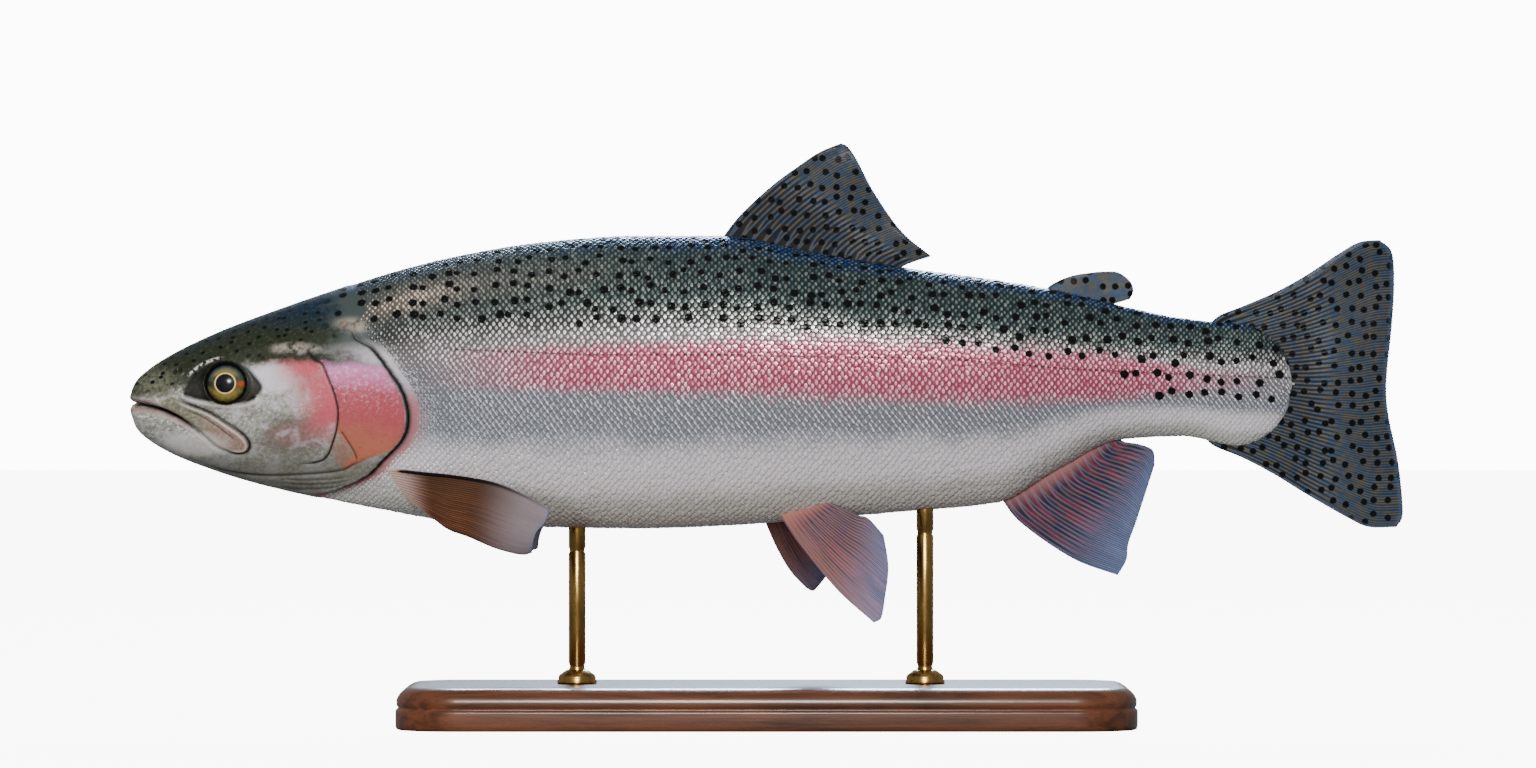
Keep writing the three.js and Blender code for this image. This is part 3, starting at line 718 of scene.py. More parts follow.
def skin_net(sizes):
    """The skin's left half in rings from the snout to the tail's root: places and values."""
    snout = 3.2 * np.linspace(0, 1, 14) ** 2
    head = np.concatenate((np.arange(3.6, 46, 0.42), np.arange(46, GILL_RING - 3, 0.5)))
    rim = GILL_RING + np.array([-3, -2.5, -2, -1.5, -1.1, -0.8, -0.55, -0.35, -0.2, -0.05, 0.1,
                                0.25, 0.4, 0.55, 0.75, 1, 1.4, 1.9, 2.5, 3.2])
    trunk = [rim[-1] + 0.8]
    while trunk[-1] < FLESH_LENGTH - 16:
        trunk.append(trunk[-1] + min(0.9 + (trunk[-1] - GILL_RING) * 0.04, 3.4))
    tail = FLESH_LENGTH - 14 * np.cos(np.linspace(0.25, np.pi / 2, 12))
    ring = np.concatenate((snout, head, rim, trunk, tail[tail > trunk[-1] + 0.5]))

    even = np.linspace(0, 1, 2001)
    density = 0.75 + 0.9 * smooth_step(even, 0.15, 0.28) * smooth_step(1 - even, 0.04, 0.14)
    column = np.interp(np.linspace(0, 1, 126), np.cumsum(density) / density.sum(), even)
    column[0] = 0
    mouth = 0.62
    near = (-2.6, -2, -1.5, -1.1, -0.8, -0.55, -0.35, -0.15, 0.15, 0.35, 0.55, 0.8, 1.1, 1.5,
            2, 2.6)
    lips = mouth + np.array(near) / 75
    column = np.sort(np.concatenate((column[np.abs(column - mouth) > 3.0 / 75], lips)))

    a, b = np.meshgrid(ring, column, indexing="ij")
    # Columns bend to follow the mouth line, and rings bend to follow the gill opening.
    line = np.where(a < 42, mouth_share(np.minimum(a, 38.5)), mouth_share(38.5))
    pull = (1 - smooth_step(a, 40, 75)) * (line - mouth)
    share = b + pull * np.where(b < mouth, smooth_step(b, 0, mouth),
                                smooth_step(1 - b, 0, 1 - mouth))
    share = np.clip(share, 0, 1)
    edge = gill_ring_at(share)
    behind = np.where(a < GILL_RING, smooth_step(a, 24, GILL_RING),
                      1 - smooth_step(a, GILL_RING, 160))
    ahead = np.where(a < GILL_RING, np.clip((a - 24) / (GILL_RING - 24), 0, 1), behind)
    at = np.clip(a + ahead * (edge - GILL_RING), 0, FLESH_LENGTH)

    base = FLANK.place(at, share)
    base[..., 1] *= -1
    normal = FLANK.normal(np.clip(at, 0.05, None), share)
    normal[..., 1] *= -1
    seen_at, seen_up = as_seen(base)

    rise, values = head_relief(seen_at, seen_up)
    rise *= smooth_step(seen_at, 1.0, 5.0)
    slant = np.gradient(edge, axis=1) / np.maximum(np.gradient(share, axis=1), 1e-6)
    lean = 1 / np.sqrt(1 + (slant / FLANK.arc_total(at)) ** 2)
    gap = (a - GILL_RING) * lean
    strength = (1 - smooth_step(seen_up, 11, 21)) * (1 - smooth_step(share, 0.93, 0.99))
    rise += gill_profile(gap, strength)

    slit = 1 - smooth_step(a, 34, 38.5)
    over = (b - mouth) * FLANK.arc_total(at)
    half_open = 0.62 * (1 - smooth_step(a, 3, 15)) + 0.02
    shut = 1 - 0.8 * smooth_step(a, 16, 29)
    rise += mouth_profile(over, half_open) * slit * shut
    lip = (1 - smooth_step(a, 18, 27)) * groove(np.abs(over) - 1.0 - half_open, 0.8)
    coat = sizes.coat_depth / MM * smooth_step(a, GILL_RING + 1, GILL_RING + 5)
    rise -= coat
    places = base + normal * rise[..., None]
    places[0] = base[0] + (3.0, 0, 0)
    places[:, [0, -1], 1] = 0
    values.update({"lip": lip, "gap": gap, "open": strength, "mouth_gap": over,
                   "mouth": slit * shut})
    return at, share, places, values


def body_values(at, share, places):
    """The values that place the markings: side view, height between ridge and keel, and arc."""
    seen_at, seen_up = as_seen(places)
    middle = along(BAND_MIDDLE, at)
    level = np.where(seen_up > middle,
                     (seen_up - middle) / np.maximum(section_value(TOP, at) - middle, 1),
                     (seen_up - middle) / np.maximum(middle - section_value(BOTTOM, at), 1))
    band = np.abs(seen_up - middle) / along(BAND_HALF, at)
    flat = np.stack((at, FLANK.over_line(at, share) + LINE_HEIGHT, np.zeros_like(at)), -1)
    return {"seen_at": seen_at, "seen_up": seen_up, "level": np.clip(level, -1.2, 1.2),
            "band": band, "flat": flat}


def both_sides(net):
    """A net of the left half joined with its mirror image into closed rings."""
    net = np.asarray(net)
    return np.concatenate((net, net[:, -2:0:-1]), 1)


def build_skin(sizes):
    at, share, places, values = skin_net(sizes)
    values = {**values, **body_values(at, share, places)}
    across = both_sides(places)
    count = places.shape[1]
    across[:, count:, 1] *= -1
    rows, columns = across.shape[:2]
    turn = np.concatenate((share, 2 - share[:, -2:0:-1]), 1) / 2
    unwrap = np.stack((0.01 + both_sides(at) / FLESH_LENGTH * 0.98, 0.005 + turn * 0.985), -1)
    faces = grid_faces(rows, columns, closed=True)[:, ::-1]
    flat_values = {}
    for key, value in values.items():
        doubled = both_sides(value)
        flat_values[key] = doubled.reshape(-1, 3) if doubled.ndim == 3 else doubled.ravel()
    piece = mesh_piece("trout_skin", across.reshape(-1, 3), faces, flat_values,
                       unwrap.reshape(-1, 2))
    # The unwrap's seam: faces that close a ring reach past the last column's edge.
    layer = piece.data.uv_layers["OFBake"]
    uv = np.zeros(len(piece.data.loops) * 2, np.float32)
    layer.data.foreach_get("uv", uv)
    uv = uv.reshape(-1, 4, 2)
    closing = uv[:, :, 1].max(1) - uv[:, :, 1].min(1) > 0.5
    fix = uv[closing]
    fix[..., 1] = np.where(fix[..., 1] < 0.5, 0.995, fix[..., 1])
    uv[closing] = fix
    layer.data.foreach_set("uv", uv.ravel())
    return piece


# ---- Scales --------------------------------------------------------------------------------

def scale_shape():
    """One scale as a flat net: places over its length and width, its rise, and its faces."""
    turn = np.radians(np.linspace(-90, 90, 9))
    rim = np.stack((0.46 + 0.54 * np.cos(turn), 0.5 * np.sin(turn)), -1)
    inner = np.stack((0.46 + 0.4 * np.cos(turn), 0.37 * np.sin(turn)), -1)
    core = np.array([(0.5, -0.13), (0.62, 0), (0.5, 0.13), (0.3, 0)])
    root = np.array([(0, -0.3), (0, 0.3)])
    flat = np.concatenate((rim, inner, core, root, rim + (0.006, 0)))
    rise = np.concatenate((np.full(9, 0.0), np.full(9, 0.035), np.full(4, 0.05),
                           np.full(2, 0.0), np.full(9, -0.08)))
    faces = []
    for k in range(8):
        faces.append((k, k + 1, k + 10, k + 9))
        faces.append((k + 24, k + 25, k + 1, k))
    a, b, c, d = 18, 19, 20, 21
    for first, second in ((9, 10), (10, 11)):
        faces.append((first, second, a, a))
    faces += [(11, 12, 19, 18), (12, 13, 19, 19), (13, 14, 19, 19), (14, 15, 20, 19),
              (15, 16, 20, 20), (16, 17, 20, 20)]
    faces += [(9, a, d, d), (17, d, c, c), (a, b, c, d), (22, 0, 9, 9), (22, 9, d, d),
              (22, d, 23, 23), (23, d, 17, 17), (23, 17, 8, 8)]
    thirds = [f[:3] for f in faces] + [(f[0], f[2], f[3]) for f in faces if f[2] != f[3]]
    return flat, rise, np.array(thirds)


def scale_roots(sizes, rows):
    """Where the scales are rooted: along, over the lateral line, and their size."""
    rng = np.random.default_rng(FIRST_RANDOM_SEED + rows[0])
    fine = np.linspace(60, FLESH_LENGTH, 1500)
    size = scale_size(fine)
    count = np.append(0, np.cumsum(np.diff(fine) / (sizes.scale_pitch / MM * size[:-1])))
    at, arc = [], []
    for row in range(*rows):
        k = np.arange(0, count[-1], 1.0) + 0.5 * (row % 2)
        row_at = np.interp(k, count, fine)
        at.append(row_at)
        arc.append(row * sizes.scale_row / MM * scale_size(row_at))
    at, arc = np.concatenate(at), np.concatenate(arc)
    at = at + rng.normal(0, 0.1, at.shape)
    arc = arc + rng.normal(0, 0.07, at.shape)
    down = np.interp(at, FLANK.at, FLANK.line_arc) - arc
    total = FLANK.arc_total(at)
    share = down / total
    length = sizes.scale_length / MM * scale_size(at)
    start = gill_ring_at(np.clip(share, 0, 1))
    start = start + 5 * smooth_step(0.3 - share, 0, 0.15) * rng.random(at.shape)
    fits = (down > -0.4) & (down < total + 0.4) & (at > start + 1.8)
    end = FLESH_LENGTH - 0.6 - 7 * (2 * share - 1) ** 2
    fits &= at + length < end
    grown = 0.58 + 0.42 * smooth_step(at - start, 2, 20)
    return at[fits], arc[fits], (scale_size(at) * grown)[fits], rng


def scale_size(at):
    """Scales are largest on the middle of the flank and smaller toward the head and tail."""
    return np.interp(at, [60, 110, 150, 290, 350, 411], [0.8, 0.86, 1, 1, 0.86, 0.76])


def build_scales(sizes, side, level):
    at, arc, size, rng = scale_roots(sizes, SCALE_LEVELS[level])
    flat, rise, thirds = scale_shape()
    count, points = len(at), len(flat)
    length = (sizes.scale_length / MM) * size * rng.normal(1, 0.03, count)
    width = (sizes.scale_width / MM) * size * rng.normal(1, 0.03, count)
    turn = rng.normal(0, 0.045, count)
    tilt = SCALE_TILT * (1 + rng.normal(0, 0.12, count))
    lean = rng.normal(0, 0.03, count)
    u = flat[None, :, 0] * length[:, None]
    v = flat[None, :, 1] * width[:, None]
    run = u * np.cos(turn)[:, None] - v * np.sin(turn)[:, None]
    rise_up = u * np.sin(turn)[:, None] + v * np.cos(turn)[:, None]
    place_at = np.clip(at[:, None] + run, 0.1, FLESH_LENGTH)
    place_arc = arc[:, None] + rise_up
    share, same = FLANK.from_line(place_at, place_arc)
    base = FLANK.place(place_at, share)
    normal = FLANK.normal(place_at, share)
    base[..., 1] *= same
    normal[..., 1] *= same
    height = shoulder_rise(place_at, share)
    height += (-0.5 + tilt[:, None] * u + rise[None] * size[:, None]
              - 0.11 * size[:, None] * (2 * flat[None, :, 1]) ** 2 + lean[:, None] * v)
    places = base + normal * height[..., None]
    base[..., 1] *= side
    places[..., 1] *= side
    shade = base.copy()
    shade[..., 1] = -np.abs(shade[..., 1])
    values = body_values(place_at, share, shade)
    values["leaf"] = np.broadcast_to(np.column_stack((flat, rise)), (count, points, 3))
    values["chance"] = np.broadcast_to(rng.random(count)[:, None], (count, points))
    values = {k: v.reshape(-1, 3) if v.ndim == 3 else v.ravel() for k, v in values.items()}
    root_share = FLANK.from_line(at, arc)[0]
    low, high = root_share.min(), root_share.max()
    root = np.stack(((at - at.min()) / np.ptp(at), (root_share - low) / (high - low)), -1)
    patch = 0.004 + 0.99 * root[:, None] + (flat[None] - (0.5, 0)) * 0.003
    faces = (thirds[None] + np.arange(count)[:, None, None] * points).reshape(-1, 3)
    if side < 0:
        faces = faces[:, ::-1]
    name = f"scales_{'left' if side < 0 else 'right'}_{level}"
    return mesh_piece(name, places.reshape(-1, 3), faces[:, ::-1], values,
                      np.clip(patch, 0.0005, 0.9995).reshape(-1, 2))


# ---- Fins ----------------------------------------------------------------------------------

# Each fin's outline as it falls on the side view, told as its four edges: the root, the
# leading edge and the trailing edge from the body outward, and the tip from front to back.
# out is the distance from the mid plane at the root's front and back and the tip's.
FINS = {
    "dorsal_fin": {
        "root": [(205.7, 46.5), (228, 45), (242.5, 42.5), (260.2, 38.4), (269.7, 36)],
        "lead": [(205.7, 46.5), (213.2, 56.9), (219.2, 63.3), (228, 71.1), (236.7, 77.4),
                 (243.6, 82), (251.3, 85.2)],
        "tip": [(251.3, 85.2), (253.8, 84.1), (257.2, 79.2), (263, 68.2), (272.9, 54.1),
                (283.5, 45.2)],
        "trail": [(269.7, 36), (272, 40.6), (276.4, 42.9), (283.5, 45.2)],
        "out": (0, 0, 0, 0), "rays": 15, "wave": 0.8, "paint": "spotted"},
    "adipose_fin": {
        "root": [(323.1, 29.4), (331.6, 27.6), (340.1, 25.2)],
        "lead": [(323.1, 29.4), (324.7, 34.4), (332.6, 38.2), (341.7, 39.7)],
        "tip": [(341.7, 39.7), (348.9, 39.6), (353.5, 36.4), (354.7, 32.9), (353.5, 30)],
        "trail": [(340.1, 25.2), (343.6, 28.1), (348, 28.4), (353.5, 30)],
        "out": (0, 0, 0, 0), "rays": 16, "wave": 0.2, "paint": "spotted"},
    "tail_fin": {
        "root": [(380.4, 19.5), (390, 9), (392, 0), (390, -9), (379.7, -17.5)],
        "lead": [(380.4, 19.5), (384.6, 24), (393.4, 27.6), (404.8, 32.5), (415.7, 38.5),
                 (427, 46), (434.5, 50.2), (441.9, 51)],
        "tip": [(441.9, 51), (446.3, 46.7), (447.2, 35.7), (446.3, 20.9), (444.7, 6),
                (444.3, -3.2), (445.4, -12.7), (448.6, -27.6), (450.2, -45.4), (447.9, -50.6)],
        "trail": [(379.7, -17.5), (382.5, -21.6), (393.4, -26.2), (404.8, -32.2),
                  (415.7, -38.9), (430.6, -47.4), (438, -50.6), (447.9, -50.6)],
        "out": (0, 0, 0, 0), "rays": 27, "wave": 0.9, "paint": "spotted"},
    "anal_fin": {
        "root": [(305.4, -36.2), (318.1, -32.5), (332.3, -25.5), (347.1, -15.5)],
        "lead": [(305.4, -36.2), (311.8, -46), (318.5, -52), (327.5, -58.3), (336.5, -63.3),
                 (349.3, -67.7)],
        "tip": [(349.3, -67.7), (352.4, -62.2), (353.1, -56.6), (356, -48.4), (360.6, -33.9),
                (362.3, -28.6)],
        "trail": [(347.1, -15.5), (350.5, -19.9), (356.7, -21.2), (361.6, -23.4),
                  (362.3, -28.6)],
        "out": (0, 0, 0, 0), "rays": 15, "wave": 0.5, "paint": "anal"},
    "pectoral_fin_left": {
        "root": [(91.6, -29.6), (94.9, -36.1), (98.5, -40.6)],
        "lead": [(91.6, -29.6), (103.6, -31.1), (115.4, -32.3), (129, -34.8), (140, -39.3),
                 (148.3, -44.2)],
        "tip": [(148.3, -44.2), (147.1, -48.4), (143.5, -52.3), (142.1, -59.7)],
        "trail": [(98.5, -40.6), (108.2, -48.4), (112.8, -51.6), (119.8, -54.1),
                  (129, -58), (137.9, -60.3), (142.1, -59.7)],
        "out": (15.5, 10.5, 43, 38), "bow": 3.0, "rays": 14, "wave": 0.5, "paint": "pectoral"},
    "pelvic_fin_left": {
        "root": [(228.7, -44.4), (236.8, -42.6), (245.3, -40.6)],
        "lead": [(228.7, -44.4), (231.5, -49.1), (235.8, -55.5), (243.6, -65.4),
                 (251.7, -74.6), (263, -84.5)],
        "tip": [(263, -84.5), (265.8, -82.7), (266.9, -75.3), (268.3, -64.7), (266.5, -53.4)],
        "trail": [(245.3, -40.6), (256.3, -46), (260.9, -47.4), (266.5, -53.4)],
        "out": (7.5, 11, 24, 19), "bow": 2.0, "rays": 12, "wave": 0.5, "paint": "pelvic"},
    "pelvic_fin_right": {
        "root": [(223.4, -44.6), (230.1, -43.6), (238.8, -41.5)],
        "lead": [(223.4, -44.6), (224.8, -49.5), (229.1, -59), (233.7, -66.5), (239, -72.1)],
        "tip": [(239, -72.1), (242.4, -72.8), (248.2, -65), (254, -50)],
        "trail": [(238.8, -41.5), (246, -43), (254, -50)],
        "out": (-7.5, -11, -36, -30), "bow": -2.0, "rays": 12, "wave": 0.5, "paint": "pelvic"},
}


def blended_edges(root, lead, tip, trail, across, outward):
    """Places between four edges; across runs from lead to trail, outward from root to tip."""
    def read(edge, share):
        place = share * (len(edge) - 1)
        k = np.clip(place.astype(int), 0, len(edge) - 2)
        return edge[k] + (edge[k + 1] - edge[k]) * (place - k)[..., None]

    a, b = across[..., None], outward[..., None]
    flat = (read(lead, outward) * (1 - a) + read(trail, outward) * a
            + read(root, across) * (1 - b) + read(tip, across) * b)
    corners = ((root[0] * (1 - a) + root[-1] * a) * (1 - b)
               + (tip[0] * (1 - a) + tip[-1] * a) * b)
    return flat - corners


def build_fin(name, sizes, mirrored=False):
    fin = FINS[name]
    rays = fin["rays"]
    edges = [curve_points(fin[key], 90) for key in ("root", "lead", "tip", "trail")]
    columns = rays * COLUMNS_TO_A_RAY + 1
    rows = FIN_ROWS
    a = np.linspace(0, 1, columns)
    b = np.linspace(0, 1, rows) ** 0.9
    across, outward = np.meshgrid(a, b)
    flat = blended_edges(*edges, across, outward)
    root_front, root_back, tip_front, tip_back = fin["out"]
    out = ((root_front * (1 - across) + root_back * across) * (1 - outward)
           + (tip_front * (1 - across) + tip_back * across) * outward)
    out = out + fin.get("bow", 0) * 4 * across * (1 - across) * outward
    middle = from_seen(flat[..., 0], flat[..., 1], -out)
    wave = fin["wave"] * outward ** 1.5 * np.sin(across * 9 + outward * 2.2 + len(name))
    wave = wave * smooth_step(across, 0, 0.15)

    normal = np.cross(np.gradient(middle, axis=1), np.gradient(middle, axis=0))
    normal /= np.maximum(np.linalg.norm(normal, axis=-1, keepdims=True), 1e-9)
    middle = middle + normal * wave[..., None]

    # Rays run out from the root and part in two, and in two again, toward the tip.
    phase = across * rays
    off = phase - np.floor(phase) - 0.5
    split = 0.25 * smooth_step(outward, 0.06, 0.3)
    again = 0.125 * smooth_step(outward, 0.42, 0.75)
    near = np.abs(np.abs(np.abs(off) - split) - again)
    spacing = np.linalg.norm(np.gradient(middle, axis=1), axis=-1) * columns / rays
    ray = np.exp(-(near * spacing / (0.3 - 0.08 * outward)) ** 2)
    soft = name == "adipose_fin"
    joints = 0.8 + 0.2 * np.cos(outward * 150)
    height = (sizes.ray_height / MM) * (0.25 if soft else 1) * ray * joints * (
        1 - 0.55 * outward)
    if fin["paint"] == "pectoral":
        rib = np.exp(-((across - 0.03) / 0.03) ** 2) * (1 - 0.7 * outward)
        rib = rib * smooth_step(outward, 0, 0.12)
        height = height + 0.9 * rib
    else:
        rib = np.exp(-((across - 0.02) / 0.02) ** 2)
        height = height + 0.25 * rib * (1 - outward)
    edge = np.minimum(np.minimum(across, 1 - across) * rays * 1.6, (1 - outward) * 14)
    edge = smooth_step(edge, -0.2, 1)
    base = 0.9 if soft else 0.5
    thick = (sizes.fin_thickness / MM) / 2 + base * np.exp(-outward * 6.5) * (2 if soft else 1)
    thick = (thick + height) * edge + 0.05

    # A scalloped tip: the web draws back between the rays.
    notch = (1 - ray) * smooth_step(outward, 0.95, 1) * (0 if soft else 0.3)
    step = np.gradient(middle, axis=0)
    step /= np.maximum(np.linalg.norm(step, axis=-1, keepdims=True), 1e-9)
    middle = middle - step * notch[..., None]
    front = middle + normal * thick[..., None]
    back = middle - normal * thick[..., None]
    ring = np.concatenate((front, back[:, ::-1]), 1)
    if mirrored:
        ring = ring * (1, -1, 1)
    count = ring.shape[1]
    faces = grid_faces(rows, count, closed=True)
    end = (rows - 1) * count
    k = np.arange(columns - 1)
    cap = np.stack((end + k, end + k + 1, end + count - 2 - k, end + count - 1 - k), -1)
    faces = np.concatenate((faces, cap))
    if mirrored:
        faces = faces[:, ::-1]

    def twice(v):
        return np.concatenate((v, v[:, ::-1]), 1).ravel()

    values = {"across": twice(across), "outward": twice(outward), "ray": twice(ray),
              "rib": twice(rib), "seen_at": twice(flat[..., 0]), "seen_up": twice(flat[..., 1])}
    sheet = np.stack((flat[..., 0], flat[..., 1], np.zeros_like(across)), -1)
    values["flat"] = np.concatenate((sheet, sheet[:, ::-1]), 1).reshape(-1, 3)
    u = np.concatenate((across * 0.48 + 0.01, 0.99 - across[:, ::-1] * 0.48), 1)
    v = np.concatenate((outward, outward[:, ::-1]), 1) * 0.97 + 0.015
    label = name.replace("left", "right") if mirrored else name
    return mesh_piece(label + "_web", ring.reshape(-1, 3), faces, values,
                      np.stack((u, v), -1).reshape(-1, 2))


# ---- Eyes ----------------------------------------------------------------------------------

def build_eye(side):
    """A domed eye that sits in its well; painted by distance and turn round its axis."""
    place, normal = on_flank(EYE["at"], EYE["up"])
    axis = normal * 0.75 + np.array((0, -1, 0)) * 0.25
    axis /= np.linalg.norm(axis)
    right = np.cross(axis, (0, 0, 1))
    right /= np.linalg.norm(right)
    above = np.cross(right, axis)
    radius, rings, around = 8.4, 56, 112
    far = radius * np.linspace(0, 1, rings) ** 0.8
    dome = 10.4
    turn = np.linspace(0, 2 * np.pi, around, endpoint=False)
    f, t = np.meshgrid(far, turn, indexing="ij")
    rise = np.sqrt(dome ** 2 - f ** 2) - dome + 1.15
    # The lens stands out a little in front of the iris.
    rise = rise + 0.35 * (1 - smooth_step(f, 0.5, 5.2))
    places = (place + right * (f * np.cos(t))[..., None] * 1.03
              + above * (f * np.sin(t))[..., None] + axis * rise[..., None])
    faces = grid_faces(rings, around, closed=True)
    values = {"far": f.ravel(), "upward": (f * np.sin(t)).ravel(),
              "backward": (-f * np.cos(t)).ravel()}
    flat = np.stack((f * np.cos(t), f * np.sin(t)), -1) / radius
    if side > 0:
        places = places * (1, -1, 1)
        faces = faces[:, ::-1]
    values["flat"] = np.concatenate((flat.reshape(-1, 2), np.zeros((f.size, 1))), 1)
    return mesh_piece(f"eyeball_{'left' if side < 0 else 'right'}", places.reshape(-1, 3), faces,
                      values, 0.5 + flat.reshape(-1, 2) * 0.49)


# ---- Stand ---------------------------------------------------------------------------------

def lathed(name, at, profile, around=64):
    """A turned piece on an upright axis from its radius and height, over the floor."""
    turn = np.linspace(0, 2 * np.pi, around, endpoint=False)
    r, z = np.array(profile, float).T
    places = np.stack((at + r[:, None] * np.cos(turn), r[:, None] * np.sin(turn),
                       np.broadcast_to(z[:, None] - AXIS_HEIGHT, (len(r), around))), -1)
    faces = grid_faces(len(r), around, closed=True)
    u = np.broadcast_to(turn / (2 * np.pi) * 0.98 + 0.01, (len(r), around))
    v = np.broadcast_to(np.linspace(0.01, 0.99, len(r))[:, None], (len(r), around))
    values = {"flat": places.reshape(-1, 3)}
    return mesh_piece(name, places.reshape(-1, 3), faces, values,
                      np.stack((u, v), -1).reshape(-1, 2))


def build_base():
    """The wooden base: a rounded plan, with a cove and a bead worked round its edge."""
    length, depth, corner = 260.0, 104.0, 22.0
    quarter = np.linspace(0, np.pi / 2, 14)
    plan = []
    for k, (sx, sy) in enumerate(((1, 1), (-1, 1), (-1, -1), (1, -1))):
        turn = quarter + k * np.pi / 2
        plan += [((length / 2 - corner) * sx + corner * math.cos(q),
                  (depth / 2 - corner) * sy + corner * math.sin(q),
                  math.cos(q), math.sin(q)) for q in turn]
    plan = np.array(plan)
    profile = [(50, 0), (9, 0), (1.2, 0), (0.4, 0.3), (0.1, 1), (0, 2), (0, 6.4), (0.1, 7), (0.8, 7.4),
               (0.9, 7.9), (0.5, 8.4), (0.35, 9.6), (0.5, 10.9), (1.2, 12.3), (2.3, 13.5),
               (3.8, 14.4), (5.4, 14.9), (7.4, 15), (12, 15), (20, 15), (34, 15), (50, 15)]
    rings = []
    for inset, z in profile:
        reach = plan[:, :2] - plan[:, 2:] * min(inset, corner)
        shrink = max(inset - corner, 0)
        reach = reach - np.sign(plan[:, :2]) * shrink
        rings.append(np.column_stack((reach, np.full(len(plan), z - AXIS_HEIGHT))))
    places = np.array(rings)
    places[..., 0] += FISH_LENGTH / 2
    count = len(plan)
    faces = grid_faces(len(rings), count, closed=True)
    # The underside and the top close along the middle line.
    middle = [places[end] * (1, 0, 1) for end in (0, -1)]
    last = (len(rings) - 1) * count
    k = np.arange(count)
    n = (k + 1) % count
    foot = np.stack((last + count + k, last + count + n, n, k), -1)
    cover = np.stack((last + k, last + n, last + 2 * count + n, last + 2 * count + k), -1)
    places = np.concatenate((places.reshape(-1, 3), *middle))
    faces = np.concatenate((faces, foot, cover))
    flat = places.copy()
    u = (places[:, 0] - places[:, 0].min()) / length * 0.98 + 0.01
    v = (places[:, 1] + depth / 2) / depth * 0.8 + 0.1 + (places[:, 2] + 113) * 0.003
    return mesh_piece("stand_board", places, faces, {"flat": flat}, np.stack((u, v), -1))


# ---- Materials -----------------------------------------------------------------------------

def patch(paint, at, up, reach_at, reach_up, low=1.1, high=0.5):
    """1 inside an oval of the side view and 0 outside it, with a soft and uneven edge."""
    x = paint.math("DIVIDE", paint.math("SUBTRACT", paint.value("seen_at"), at), reach_at)
    y = paint.math("DIVIDE", paint.math("SUBTRACT", paint.value("seen_up"), up), reach_up)
    far = paint.length(x, y)
    uneven = paint.noise(paint.vector("flat"), 0.16, 3)
    far = paint.math("ADD", far, paint.scaled(uneven, 0.5, -0.25))
    return paint.step(far, low, high)


def flank_colours(paint, colours):
    """The ground colour over the body from ridge to keel, shared by the skin and the scales."""
    c = colours
    flat = paint.vector("flat")
    wobble = paint.scaled(paint.noise(flat, 0.09, 3), 0.14, -0.07)
    level = paint.math("ADD", paint.value("level"), wobble)
    place = paint.math("MULTIPLY_ADD", level, 0.5, 0.5, clamp=True)
    ridge, back, shoulder = tuple(c.ridge), tuple(c.back), tuple(c.shoulder)
    silver, flank, belly = tuple(c.silver), tuple(c.flank), tuple(c.belly)
    # The pale stops low on the flank: partly whiter scales, partly a painted highlight.
    pale = tuple(min(v * 1.7, 0.86) for v in silver)
    # The ridge stop's blue is partly painted blue rim light.
    ground = paint.ramp(place, [
        (0.0, belly), (0.08, belly), (0.14, pale), (0.22, pale), (0.3, flank), (0.42, flank),
        (0.5, silver), (0.62, silver), (0.68, shoulder), (0.78, back), (0.93, back),
        (0.98, ridge)])
    along_it = paint.value("seen_at")
    dim = paint.times(paint.step(along_it, 210, 110), paint.step(level, 0.12, 0.3))
    ground = paint.mix(paint.times(dim, 0.55), ground, shoulder)
    below = paint.times(paint.line(level, -0.2, 0.1), paint.step(along_it, 190, 250))
    ground = paint.mix(paint.times(below, 0.7), ground, silver)
    wobble = paint.scaled(paint.noise(flat, 0.25, 5, 0.65), 1.0, -0.5)
    band = paint.step(paint.math("ADD", paint.value("band"), wobble), 1.45, 0.6)
    band = paint.times(band, paint.step(along_it, 96, 165))
    band = paint.times(band, paint.step(along_it, 412, 350))
    return paint.mix(paint.times(band, 0.85), ground, tuple(c.band)), band, level


def spots(paint, sizes):
    """The black spots: on the upper flank and the back, and all over the tail's root."""
    flat = paint.vector("flat")
    pitch, reach = sizes.spot_pitch / MM, sizes.spot_radius / sizes.spot_pitch
    cells = paint.cells(paint.stretch(flat, 1 / pitch, 1 / pitch), 0.6)
    middle = paint.parts(cells["Position"])
    # A spot shows or not by where its own middle lies, so that none is cut through.
    at = paint.times(middle["X"], pitch)
    over = paint.scaled(middle["Y"], pitch, -LINE_HEIGHT)
    lowest = paint.scaled(paint.step(at, 225.0, 310.0), -7.5, 10.5)
    lowest = paint.scaled(paint.step(at, 340.0, 366.0), -15.0, lowest)
    shows = paint.math("GREATER_THAN", over, lowest)
    size = paint.scaled(paint.step(over, 22.0, 40.0), -0.14, 1.0)
    odd = paint.parts(cells["Color"])
    size = paint.times(size, paint.scaled(odd["X"], 0.3, 0.84))
    far = paint.math("DIVIDE", cells["Distance"], size)
    rough = paint.noise(flat, 0.9, 3, 0.6)
    far = paint.math("ADD", far, paint.scaled(rough, 0.16, -0.08))
    return paint.times(shows, paint.step(far, reach * 1.12, reach * 0.88))


def side_line(paint, colour):
    """The lateral line: a thin dark line of short dashes."""
    parts = paint.parts(paint.vector("flat"))
    off = paint.math("ABSOLUTE", paint.math("SUBTRACT", parts["Y"], LINE_HEIGHT))
    dash = paint.step(paint.math("SINE", paint.times(parts["X"], 2.6)), -1, 0)
    line = paint.times(paint.step(off, 0.42, 0.15), dash)
    line = paint.times(line, paint.step(paint.value("seen_at"), 100, 120))
    return paint.mix(paint.times(line, 0.75), colour, tone(40, 34, 36))


